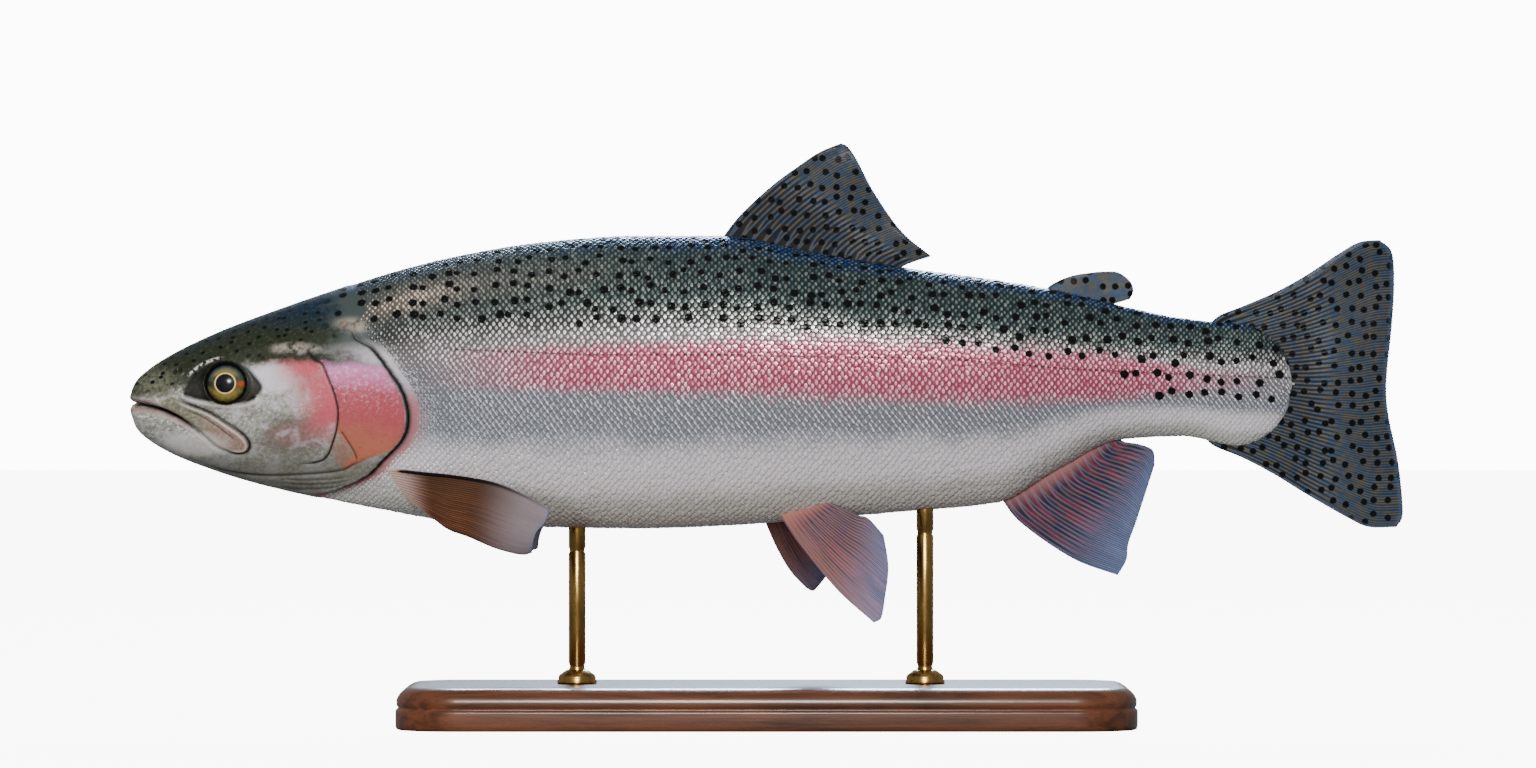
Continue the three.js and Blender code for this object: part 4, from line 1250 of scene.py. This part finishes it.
def skin_material(sizes, colours):
    c = colours
    p = Paint("trout_skin", Metallic=0.1, IOR=1.38, Coat_Weight=0.1, Coat_Roughness=0.16,
              Specular_IOR_Level=0.25)
    flat = p.vector("flat")
    body = flank_colours(p, c)[0]
    at, up = p.value("seen_at"), p.value("seen_up")
    blotch = p.noise(flat, 0.2, 5, 0.65)
    grain = p.noise(flat, 0.75, 5, 0.72)
    speck = p.noise(flat, 2.2, 3, 0.6)

    # Cheeks: silver, cloudy and finely speckled, with painted shade toward the throat.
    head = p.ramp(grain, [(0.32, tuple(v * 0.42 for v in c.cheek)), (0.52, tuple(c.cheek)),
                          (0.7, tone(226, 224, 220))])
    head = p.mix(p.times(patch(p, 57.0, -18.0, 15.0, 9.0), 0.75), head, tone(92, 90, 80))
    cloud = p.noise(flat, 0.11, 3, 0.6)
    head = p.mix(p.times(p.step(cloud, 0.5, 0.62), 0.5), head, tone(206, 204, 214))
    head = p.mix(p.times(p.step(cloud, 0.46, 0.36), 0.5), head, tone(98, 100, 92))
    head = p.mix(p.times(patch(p, 50.0, 2.0, 12.0, 6.0), 0.7), head, tone(226, 222, 236))
    # Painted shade: the head darkens toward its underside.
    head = p.mix(p.times(p.step(up, -16.0, -30.0), 0.75), head, tone(96, 96, 86))
    head = p.mix(p.times(p.step(speck, 0.6, 0.7), 0.35), head, tone(60, 58, 50))

    # Gill covers: rose above, red to orange-brown below, with pale flecks.
    ahead = p.step(p.value("gap"), 0.0, -1.0)
    pink = p.times(p.value("pink"), p.step(p.math("ADD", blotch, grain), 0.72, 0.98))
    head = p.mix(p.times(pink, 0.95), head, tone(196, 84, 100))
    cover = p.mix(p.step(p.scaled(blotch, 12.0, up), 13.0, 0.0),
                  tuple(c.gill_rose), tuple(c.gill_red))
    low = p.scaled(blotch, 14.0, p.scaled(at, 0.25, up))
    cover = p.mix(p.step(low, 18.0, 6.0), cover, tone(176, 104, 84))
    pale = p.times(p.step(grain, 0.5, 0.68), p.step(up, -16.0, 6.0))
    cover = p.mix(p.times(pale, 0.8), cover, tone(232, 200, 216))
    cover = p.mix(p.times(p.step(grain, 0.42, 0.3), 0.5), cover, tone(128, 58, 60))
    head = p.mix(p.times(patch(p, 77.0, -23.0, 7.0, 8.0), 0.7), head, tone(150, 108, 92))
    head = p.mix(p.times(p.step(p.value("cover"), -0.6, 0.8), ahead), head, cover)

    # The olive cap over the head, down to a line over the eye and the gill cover.
    cap_line = p.add("ShaderNodeFloatCurve")
    p.put(cap_line.inputs["Value"], p.math("DIVIDE", at, 110.0))
    points = cap_line.mapping.curves[0].points
    for k, (x, y) in enumerate(((0, 0.2), (0.13, 0.26), (0.22, 0.34), (0.38, 0.5),
                                (0.5, 0.52), (0.72, 0.5), (0.86, 0.5), (1, 0.6))):
        if k < 2:
            points[k].location = (x, y)
        else:
            points.new(x, y)
    cap_line.mapping.update()
    height = p.scaled(cap_line.outputs[0], 40.0, -13.0)
    over = p.math("ADD", p.math("SUBTRACT", up, height), p.scaled(blotch, 5.0, -2.5))
    cap = p.step(over, -1.8, 1.8)
    # The crown's top turns blue, partly painted blue rim light.
    crown = p.mix(p.step(over, 8.0, 20.0), tuple(c.crown), tone(16, 38, 58))
    crown = p.mix(p.times(p.step(grain, 0.48, 0.72), 0.4), crown, tone(98, 100, 70))
    muzzle = p.times(patch(p, 9.0, 0.0, 11.0, 6.5, 1.3, 0.2), p.step(grain, 0.3, 0.6))
    crown = p.mix(p.times(muzzle, 0.7), crown, tone(122, 124, 108))
    head = p.mix(cap, head, crown)
    # Painted shade: the hollow of the eye's socket is coloured dark.
    head = p.mix(p.times(p.step(p.value("socket"), -0.6, 1.0), 0.95), head, tone(22, 26, 18))
    plate = p.mix(p.step(p.scaled(blotch, 10.0, at), 24.0, 38.0),
                  tone(96, 98, 76), tone(146, 112, 102))
    plate = p.mix(p.times(p.step(grain, 0.45, 0.7), 0.4), plate, tone(190, 180, 160))
    head = p.mix(p.times(p.step(p.value("plate"), -0.3, 0.4), 0.85), head, plate)
    head = p.mix(p.times(p.value("lip"), 0.7), head, tuple(c.lip))
    dots = p.cells(p.stretch(flat, 0.2, 0.24), 0.9)["Distance"]
    dots = p.times(p.step(dots, 0.19, 0.13), p.step(over, 0.0, 3.0))
    head = p.mix(dots, head, tuple(c.spot))

    body_spots = spots(p, sizes)
    body = side_line(p, p.mix(body_spots, body, tuple(c.spot)))
    # Over the gill cover the head's colours turn into the body's; under it its edge parts them.
    gap = p.value("gap")
    early = p.step(p.scaled(blotch, 22.0, gap), -4.0, 12.0)
    turn = p.math("MAXIMUM", p.step(gap, -0.3, 0.3), p.times(early, cap))
    colour = p.mix(turn, head, body)
    shoulder = p.times(p.step(gap, 11.0, 2.0), p.step(gap, 0.2, 1.4))
    shoulder = p.times(shoulder, p.step(up, 2.0, -8.0))
    colour = p.mix(p.times(shoulder, 0.85), colour, tone(168, 92, 96))

    # Painted highlights: pale patches over the cheek, the gill cover's top and the lower jaw.
    cloudy = p.step(blotch, 0.36, 0.62)
    painted_highlight = p.times(patch(p, 58.5, 12.6, 10.0, 2.4, 1.2, 0.2), cloudy)
    colour = p.mix(p.times(painted_highlight, 0.5), colour, tone(240, 226, 212))
    painted_highlight = p.times(patch(p, 79.0, 21.0, 8.0, 3.2, 1.2, 0.2), cloudy)
    colour = p.mix(p.times(painted_highlight, 0.35), colour, tone(232, 212, 196))
    colour = p.mix(p.times(patch(p, 23.0, -21.0, 14.0, 5.0), 0.6), colour, tone(214, 212, 206))

    # Painted highlights beside the folds, then painted shade in the folds, slits and pits.
    dashes = p.step(p.noise(flat, 0.8, 2), 0.44, 0.56)
    painted_glints = p.times(p.line(p.value("mouth_gap"), 3.3, 0.45), p.step(at, 26.0, 19.0))
    painted_glints = p.times(painted_glints, p.step(at, 1.0, 3.0))
    brow = p.times(p.line(p.value("socket"), -0.9, 0.45), p.step(up, 2.0, 4.5))
    painted_glints = p.math("MAXIMUM", painted_glints, p.times(brow, p.step(at, 34.0, 29.0)))
    colour = p.mix(p.times(p.times(painted_glints, dashes), 0.85), colour, tone(244, 242, 240))
    lit = p.times(p.line(p.value("plate"), 0.85, 0.4), p.value("plate_edge"))
    close = p.step(p.value("near_fold"), 2.5, 2.0)
    lit = p.math("MAXIMUM", lit, p.times(p.line(p.value("fold_orbit"), -1.5, 0.6), close))
    colour = p.mix(p.times(lit, 0.5), colour, tone(226, 220, 218))
    # Painted shade: dark in the gill slit, grooves, mouth slit, nostril pits and round the eye.
    dark = p.times(p.line(gap, 0.5, 1.0), p.value("open"))
    for name, middle, width, strength in (
            ("fold_rear", 0.0, 0.45, 1.0), ("fold_low", 0.0, 0.36, 0.75),
            ("fold_small", 0.0, 0.34, 0.7), ("fold_throat", 0.0, 0.34, 0.4),
            ("fold_jaw", 0.0, 0.3, 0.55), ("fold_orbit", 0.35, 1.15, 1.0)):
        painted_shade = p.times(p.line(p.value(name), middle, width), strength)
        painted_shade = p.times(painted_shade, close)
        dark = p.math("MAXIMUM", dark, painted_shade)
    painted_shade = p.times(p.line(p.value("plate"), -0.3, 0.6), p.value("plate_edge"))
    dark = p.math("MAXIMUM", dark, painted_shade)
    painted_shade = p.step(p.math("ABSOLUTE", p.value("mouth_gap")), 1.05, 0.35)
    dark = p.math("MAXIMUM", dark, p.times(painted_shade, p.value("mouth")))
    dark = p.math("MAXIMUM", dark, p.value("pits"))
    eye_x = p.math("DIVIDE", p.math("SUBTRACT", at, EYE["at"]), EYE["wide"])
    eye_y = p.math("SUBTRACT", up, EYE["up"])
    eye_far = p.length(eye_x, eye_y)
    dark = p.math("MAXIMUM", dark, p.step(eye_far, EYE["radius"] + 1.2, EYE["radius"] + 0.2))
    colour = p.mix(dark, colour, tuple(c.crease))
    p.set("Base Color", colour)
    p.set("Roughness", p.scaled(grain, 0.4, 0.2))
    p.bump(p.math("ADD", grain, p.times(speck, 0.4)), 0.35, 0.0006)
    return p.material


def scale_material(sizes, colours):
    c = colours
    p = Paint("trout_scales", IOR=1.35, Coat_Weight=0.14, Coat_Roughness=0.14,
              Specular_IOR_Level=0.3)
    body, band, level = flank_colours(p, c)
    chance = p.value("chance")
    leaf = p.parts(p.vector("leaf"))
    upper = p.math("MAXIMUM", p.step(level, 0.04, 0.12), p.step(band, 0.2, 0.6))
    # A bright drop lies in the middle of a scale's open part, partly the scale's silver and
    # partly a painted highlight; under the band it is a dash that leans.
    lean = p.scaled(upper, -0.5, 0.5)
    x = p.scaled(leaf["Y"], lean, p.math("SUBTRACT", leaf["X"], 0.74))
    x = p.math("DIVIDE", x, p.scaled(upper, 0.045, 0.085))
    y = p.math("DIVIDE", leaf["Y"], 0.29)
    far = p.length(x, y)
    glint = p.step(p.math("ADD", far, p.times(chance, 0.5)), 1.4, 0.65)
    zone = p.ramp(p.math("MULTIPLY_ADD", level, 0.5, 0.5, clamp=True), [
        (0.0, (0.35,) * 3), (0.14, (0.6,) * 3), (0.3, (0.9,) * 3), (0.45, (1.0,) * 3),
        (0.6, (1.0,) * 3), (0.67, (0.95,) * 3), (0.78, (0.6,) * 3), (0.92, (0.4,) * 3)])
    hue = p.math("FRACT", p.times(chance, 7.3))
    lively = p.times(zone, p.scaled(hue, 0.75, 0.3))
    # A painted warm highlight runs from the nape along the upper flank.
    at = p.value("seen_at")
    fall = p.math("EXPONENT", p.times(p.math("SUBTRACT", 74.0, at), 1 / 45))
    crest = p.scaled(fall, -21.0, 42.0)
    painted_highlight = p.line(p.math("SUBTRACT", p.value("seen_up"), crest), 0.0, 4.2)
    painted_highlight = p.times(painted_highlight, p.step(at, 68, 80))
    painted_highlight = p.times(painted_highlight, p.ramp(p.math("DIVIDE", at, 200.0), [
        (0.5, (1,) * 3), (0.62, (0.3,) * 3), (0.95, (0,) * 3)]))
    bright = p.mix(p.step(level, 0.3, 0.55), tone(252, 248, 252), tone(170, 180, 168))
    bright = p.mix(p.step(level, -0.4, -0.6), bright, tone(250, 246, 232))
    bright = p.mix(p.times(band, 0.85), bright, tone(250, 186, 204))
    bright = p.mix(p.times(painted_highlight, 0.9), bright, tone(255, 232, 214))
    lively = p.math("MAXIMUM", lively, painted_highlight)
    # Round the drop the scale darkens: partly its darker edge, partly painted shade in the gaps.
    gloom = p.mix(p.step(level, 0.0, 0.15), tone(66, 70, 78), tone(48, 40, 36))
    gloom = p.mix(band, gloom, tone(128, 34, 50))
    gloom = p.mix(p.step(level, 0.3, 0.5), gloom, tone(14, 20, 22))
    depth = p.scaled(p.step(level, -0.7, -0.3), 0.46, 0.2)
    shade = p.times(p.math("SUBTRACT", 1.0, glint), p.times(zone, depth))
    # The painted highlight also warms the ground colour under the drops.
    body = p.mix(p.times(painted_highlight, 0.3), body, tone(206, 180, 162))
    colour = p.mix(shade, body, gloom)
    colour = p.mix(p.times(glint, lively), colour, bright)
    colour = side_line(p, colour)
    black = spots(p, sizes)
    colour = p.mix(black, colour, tuple(c.spot))
    p.set("Base Color", colour)
    p.set("Metallic", p.times(p.math("SUBTRACT", 1.0, black), 0.25))
    dull = p.times(black, 0.6)
    p.set("Roughness", p.math("ADD", dull, p.scaled(chance, 0.2, 0.2)))
    return p.material


def fin_material(name, sizes, colours):
    c = colours
    kind = FINS[name]["paint"]
    p = Paint("fin_" + kind, Roughness=0.75, IOR=1.33, Coat_Weight=0.05, Coat_Roughness=0.15,
              Specular_IOR_Level=0.2)
    ray, outward, across = p.value("ray"), p.value("outward"), p.value("across")
    flat = p.vector("flat")
    mottle = p.noise(flat, 0.3, 5, 0.65)
    fan = p.add("ShaderNodeCombineXYZ")
    p.put(fan.inputs[0], p.times(across, 34.0))
    p.put(fan.inputs[1], p.times(outward, 2.6))
    streak = p.noise(fan.outputs[0], 1.0, 4, 0.6)
    rays = p.math("MULTIPLY", ray, p.math("MULTIPLY_ADD", streak, 0.8, 0.45), clamp=True)
    tip = p.step(outward, 0.55, 1.0)
    if kind == "spotted":
        web = p.mix(p.step(mottle, 0.38, 0.62), tuple(c.fin_grey), tone(42, 37, 32))
        light = p.mix(p.step(mottle, 0.42, 0.6), tone(72, 90, 114), tone(98, 98, 92))
        colour = p.mix(rays, web, light)
        pitch = sizes.spot_pitch / MM * 0.8
        far = p.cells(p.stretch(flat, 1 / pitch, 1 / pitch), 0.6)["Distance"]
        far = p.math("ADD", far, p.scaled(p.noise(flat, 0.9, 3), 0.12, -0.06))
        reach = sizes.spot_radius / MM / pitch * 0.82
        colour = p.mix(p.step(far, reach * 1.12, reach * 0.88), colour, tuple(c.spot))
    elif kind == "anal":
        web = p.mix(p.step(mottle, 0.4, 0.6), tone(30, 34, 54), tone(46, 40, 38))
        red = p.times(p.step(streak, 0.46, 0.6), p.step(outward, 0.95, 0.5))
        web = p.mix(p.times(red, 0.8), web, tone(122, 40, 48))
        colour = p.mix(rays, web, p.mix(tip, tone(96, 98, 124), tone(128, 144, 190)))
        colour = p.mix(p.step(outward, 0.24, 0.0), colour, tone(160, 112, 112))
    elif kind == "pelvic":
        web = p.mix(p.step(mottle, 0.4, 0.6), tone(56, 42, 58), tone(70, 46, 40))
        red = p.times(p.step(streak, 0.42, 0.6), p.step(across, 0.9, 0.3))
        web = p.mix(p.times(red, 0.8), web, tone(142, 70, 60))
        web = p.mix(p.times(p.step(across, 0.3, 0.0), 0.5), web, tone(160, 110, 84))
        colour = p.mix(rays, web, p.mix(tip, tone(124, 102, 112), tone(132, 142, 184)))
        colour = p.mix(p.step(outward, 0.2, 0.0), colour, tone(172, 112, 104))
    else:
        warm = p.times(p.step(streak, 0.4, 0.62), p.step(across, 0.15, 0.5))
        web = p.mix(warm, tuple(c.fin_brown), tone(142, 88, 58))
        web = p.mix(p.step(outward, 0.6, 1.0), web, tone(100, 90, 94))
        web = p.mix(p.step(outward, 0.26, 0.02), web, tone(190, 160, 152))
        inked = p.times(rays, p.step(outward, 0.02, 0.3))
        colour = p.mix(inked, web, p.mix(p.step(outward, 0.5, 0.9), tone(48, 30, 22),
                                         tone(136, 126, 132)))
        colour = p.mix(p.step(p.value("rib"), 0.15, 0.6), colour, tone(8, 8, 10))
    # Painted rim light: a blue edge round the fin stands in for light from behind.
    rim = p.math("MAXIMUM", p.step(outward, 0.965, 1.0), p.step(across, 0.02, 0.0))
    rim = p.math("MAXIMUM", rim, p.step(across, 0.985, 1.0))
    if kind == "pectoral":
        rim = p.times(rim, p.step(outward, 0.5, 1.0))
    colour = p.mix(p.times(rim, 0.3), colour, tone(84, 112, 156))
    p.set("Base Color", colour)
    return p.material


def eye_material(sizes, colours):
    c = colours
    p = Paint("trout_eye", Roughness=0.25, IOR=1.4, Coat_Weight=0.5, Coat_Roughness=0.04)
    far, up, back = p.value("far"), p.value("upward"), p.value("backward")
    streak = p.noise(p.vector("flat"), 5.0, 5, 0.7)
    cloud = p.noise(p.vector("flat"), 2.2, 4, 0.6)
    iris = p.mix(p.step(p.scaled(cloud, 7.0, up), 0.5, 7.5),
                 tuple(c.iris_gold), tuple(c.iris_blue))
    iris = p.mix(p.times(p.step(streak, 0.42, 0.62), 0.6), iris, tone(20, 24, 18))
    glow = p.times(p.step(far, 6.2, 4.4), p.step(p.math("ABSOLUTE", up), 1.6, 3.4))
    iris = p.mix(p.times(glow, 0.5), iris, tone(158, 140, 70))
    ragged = p.scaled(cloud, 2.4, p.math("ABSOLUTE", up))
    mark = p.times(p.step(back, 3.4, 4.6), p.step(ragged, 2.7, 1.3))
    iris = p.mix(p.times(mark, 0.85), iris, tone(168, 74, 30))
    mark = p.times(p.step(back, -3.6, -5.0), p.step(p.math("ABSOLUTE", up), 1.3, .2))
    iris = p.mix(p.times(mark, 0.8), iris, tone(24, 22, 16))
    iris = p.mix(p.step(far, 5.8, 6.8), iris, tone(8, 10, 9))
    ring, pupil = sizes.ring_radius / MM, sizes.pupil_radius / MM
    gold = p.mix(p.step(streak, 0.35, 0.65), tuple(c.ring_gold), tone(250, 222, 150))
    colour = p.mix(p.step(far, ring + 0.1, ring - 0.1), iris, gold)
    colour = p.mix(p.step(far, pupil + 0.1, pupil - 0.1), colour, tuple(c.pupil))
    p.set("Base Color", colour)
    return p.material


def wood_material(colours):
    p = Paint("stand_wood", Roughness=0.35, IOR=1.45, Coat_Weight=0.4, Coat_Roughness=0.15)
    flat = p.stretch(p.vector("flat"), 0.012, 0.14, 0.14)
    grain = p.noise(flat, 1.6, 6, 0.62, 0.6)
    fine = p.noise(p.stretch(p.vector("flat"), 0.05, 1.6, 1.6), 1.0, 3)
    dark = tuple(v * 0.34 for v in colours.wood)
    pale = tuple(min(v * 1.5, 1) for v in colours.wood)
    colour = p.ramp(grain, [(0.3, dark), (0.5, tuple(colours.wood)), (0.72, pale)])
    colour = p.mix(p.times(p.step(fine, 0.5, 0.7), 0.3), colour, dark)
    p.set("Base Color", colour)
    p.bump(fine, 0.12, 0.0003)
    return p.material


def brass_material(colours):
    p = Paint("stand_brass", Metallic=1.0, IOR=1.45)
    worn = p.noise(p.stretch(p.vector("flat"), 0.4, 0.4, 0.08), 1.0, 4, 0.6)
    dull = tuple(v * 0.72 for v in colours.brass)
    p.set("Base Color", p.mix(p.step(worn, 0.35, 0.7), dull, tuple(colours.brass)))
    p.set("Roughness", p.scaled(worn, 0.25, 0.12))
    return p.material


# ---- Steps ---------------------------------------------------------------------------------

def settings(context):
    return context.scene.trout_sizes, context.scene.trout_colours


def built(step, *pieces):
    """Ends a step, or stops it with an error when one of its pieces has come out empty."""
    for piece in pieces:
        if not len(piece.data.polygons):
            raise RuntimeError(f"{step.bl_label}: {piece.name} has no faces")
    return {"FINISHED"}


class TROUT_OT_skin(bpy.types.Operator):
    """Builds the skin over the whole body, with the head's folds, mouth and gill covers"""
    bl_idname = "trout.skin"
    bl_label = "Skin"

    def execute(self, context):
        sizes, colours = settings(context)
        piece = finish_piece(build_skin(sizes), skin_material(sizes, colours), "flank", "head",
                             "lower_jaw", "throat", "trunk", "tail_stalk", "gill_cover_left",
                             "gill_cover_right", "upper_jaw_bone_left", "upper_jaw_bone_right")
        return built(self, piece)


class TROUT_OT_scales(bpy.types.Operator):
    """Builds the scales in six joined pieces, rooted in rows along the lateral line"""
    bl_idname = "trout.scales"
    bl_label = "Scales"

    def execute(self, context):
        sizes, colours = settings(context)
        material = scale_material(sizes, colours)
        pieces = [finish_piece(build_scales(sizes, side, level), material, "flank", "trunk")
                  for side in (-1, 1) for level in SCALE_LEVELS]
        return built(self, *pieces)


class TROUT_OT_fins(bpy.types.Operator):
    """Builds the eight fins with rays that part toward the tips"""
    bl_idname = "trout.fins"
    bl_label = "Fins"

    def execute(self, context):
        sizes, colours = settings(context)
        painted = {}
        pieces = []
        for name, fin in FINS.items():
            kind = fin["paint"]
            if kind not in painted:
                painted[kind] = fin_material(name, sizes, colours)
            slot = "spotted_fin" if kind == "spotted" else "plain_fin"
            pieces.append(finish_piece(build_fin(name, sizes), painted[kind], slot, name))
        right = build_fin("pectoral_fin_left", sizes, mirrored=True)
        pieces.append(finish_piece(right, painted["pectoral"], "plain_fin",
                                   "pectoral_fin_right"))
        return built(self, *pieces)


class TROUT_OT_eyes(bpy.types.Operator):
    """Builds the two domed eyes"""
    bl_idname = "trout.eyes"
    bl_label = "Eyes"

    def execute(self, context):
        sizes, colours = settings(context)
        material = eye_material(sizes, colours)
        return built(self, finish_piece(build_eye(-1), material, "eye", "eye_left"),
                     finish_piece(build_eye(1), material, "eye", "eye_right"))


class TROUT_OT_stand(bpy.types.Operator):
    """Builds the wooden base, the two brass rods and their collars"""
    bl_idname = "trout.stand"
    bl_label = "Display stand"

    def execute(self, context):
        colours = settings(context)[1]
        pieces = [finish_piece(build_base(), wood_material(colours), "stand_base", "stand_base")]
        brass = brass_material(colours)
        for end, at in ROD_PLACES.items():
            top = float(sections(np.array([at]))[BOTTOM][0]) + AXIS_HEIGHT
            rod = [(0.2, 7.2), (2.6, 7.2), (3, 7.6), (3, 20), (2.6, 20.8), (2.6, 21.6), (3, 22.4),
                   (3, top - 9), (2.65, top - 8.4), (2.65, top - 7.4), (3, top - 6.8),
                   (3, top + 13), (0.2, top + 13.8)]
            collar = [(3.05, 15), (7, 15), (7, 16), (6.6, 16.5), (6.7, 17.2), (6.3, 18.2),
                      (5, 19.1), (4.2, 19.7), (3.6, 20), (3.05, 20)]
            pieces += [finish_piece(lathed(f"stand_post_{end}", at, rod), brass, "stand_rod",
                                    f"stand_rod_{end}"),
                       finish_piece(lathed(f"stand_ring_{end}", at, collar), brass, "stand_rod",
                                    f"stand_collar_{end}")]
        return built(self, *pieces)


class TROUT_OT_stage(bpy.types.Operator):
    """Builds the pale floor, the lights and the camera"""
    bl_idname = "trout.stage"
    bl_label = "Stage"

    def execute(self, context):
        along_it, across = FLOOR_REACH
        corners = [(FISH_LENGTH / 2 + x * along_it, y * across, -AXIS_HEIGHT)
                   for x, y in ((-1, -1), (1, -1), (1, 1), (-1, 1))]
        floor = mesh_piece("floor", corners, [(0, 1, 2, 3)])
        paint = Paint("floor", Roughness=0.7)
        where = paint.add("ShaderNodeNewGeometry").outputs["Position"]
        paint.set("Base Color", paint.mix(paint.noise(where, 1.5), (0.12,) * 3, (0.14,) * 3))
        paint.set("Emission Color", (1, 1, 1))
        seen = paint.add("ShaderNodeLightPath").outputs["Is Camera Ray"]
        paint.set("Emission Strength", paint.times(seen, 9.0))
        floor.data.materials.append(paint.material)

        world = bpy.data.worlds.new("studio")
        world.use_nodes = True
        nodes, links = world.node_tree.nodes, world.node_tree.links
        nodes["Background"].inputs[0].default_value = (0.98, 0.99, 1, 1)
        seen = nodes.new("ShaderNodeLightPath").outputs["Is Camera Ray"]
        bright = nodes.new("ShaderNodeMapRange")
        bright.inputs["To Min"].default_value = 0.28
        bright.inputs["To Max"].default_value = 12.0
        links.new(seen, bright.inputs["Value"])
        links.new(bright.outputs[0], nodes["Background"].inputs[1])
        bpy.context.scene.world = world
        middle = Vector((0, 0, AXIS_HEIGHT * MM))
        for name, place, width, power, colour in (
                ("key", (-0.05, -1.75, 0.8), 0.5, 29, (1, 0.98, 0.95)),
                ("fill", (-0.9, -1.7, 0.2), 0.5, 13, (1, 0.99, 0.97)),
                ("nape", (-0.8, -0.2, 1.48), 0.16, 5, (1, 0.88, 0.72)),
                ("rim", (0.1, 1.7, 1.1), 0.7, 48, (0.62, 0.8, 1))):
            light = bpy.data.lights.new(name, "AREA")
            light.shape = "DISK"
            light.size = width
            light.energy = power
            light.color = colour
            lamp = bpy.data.objects.new(name, light)
            lamp.location = place
            lamp.visible_camera = False
            lamp.visible_glossy = name in ("key", "rim")
            lamp.rotation_euler = (middle - Vector(place)).to_track_quat("-Z", "Y").to_euler()
            bpy.context.scene.collection.objects.link(lamp)

        lens = bpy.data.cameras.new("camera")
        lens.lens = 200
        lens.sensor_width = 36
        lens.clip_start, lens.clip_end = 0.05, 100
        camera = bpy.data.objects.new("camera", lens)
        camera.location = (0.0005, -VIEW_DISTANCE * MM, AXIS_HEIGHT * MM)
        camera.rotation_euler = (math.pi / 2, 0, 0)
        bpy.context.scene.collection.objects.link(camera)
        bpy.context.scene.camera = camera
        return built(self, floor)


class TROUT_PT_panel(bpy.types.Panel):
    """The steps and settings of the trout"""
    bl_label = "Rainbow Trout"
    bl_idname = "TROUT_PT_panel"
    bl_space_type = "VIEW_3D"
    bl_region_type = "UI"
    bl_category = "Trout"

    def draw(self, context):
        for step in STEPS:
            self.layout.operator(step.bl_idname)
        for label, group in (("Sizes", context.scene.trout_sizes),
                             ("Colours", context.scene.trout_colours)):
            box = self.layout.box()
            box.label(text=label)
            for key in group.__annotations__:
                box.prop(group, key)


STEPS = (TROUT_OT_skin, TROUT_OT_scales, TROUT_OT_fins, TROUT_OT_eyes, TROUT_OT_stand,
         TROUT_OT_stage)
CLASSES = (TroutSizes, TroutColours, *STEPS, TROUT_PT_panel)


def register():
    for kind in CLASSES:
        bpy.utils.register_class(kind)
    bpy.types.Scene.trout_sizes = bpy.props.PointerProperty(type=TroutSizes)
    bpy.types.Scene.trout_colours = bpy.props.PointerProperty(type=TroutColours)


def unregister():
    del bpy.types.Scene.trout_colours
    del bpy.types.Scene.trout_sizes
    for kind in reversed(CLASSES):
        bpy.utils.unregister_class(kind)


def main():
    register()
    for step in STEPS:
        group, name = step.bl_idname.split(".")
        getattr(getattr(bpy.ops, group), name)()


if __name__ == "__main__":
    main()
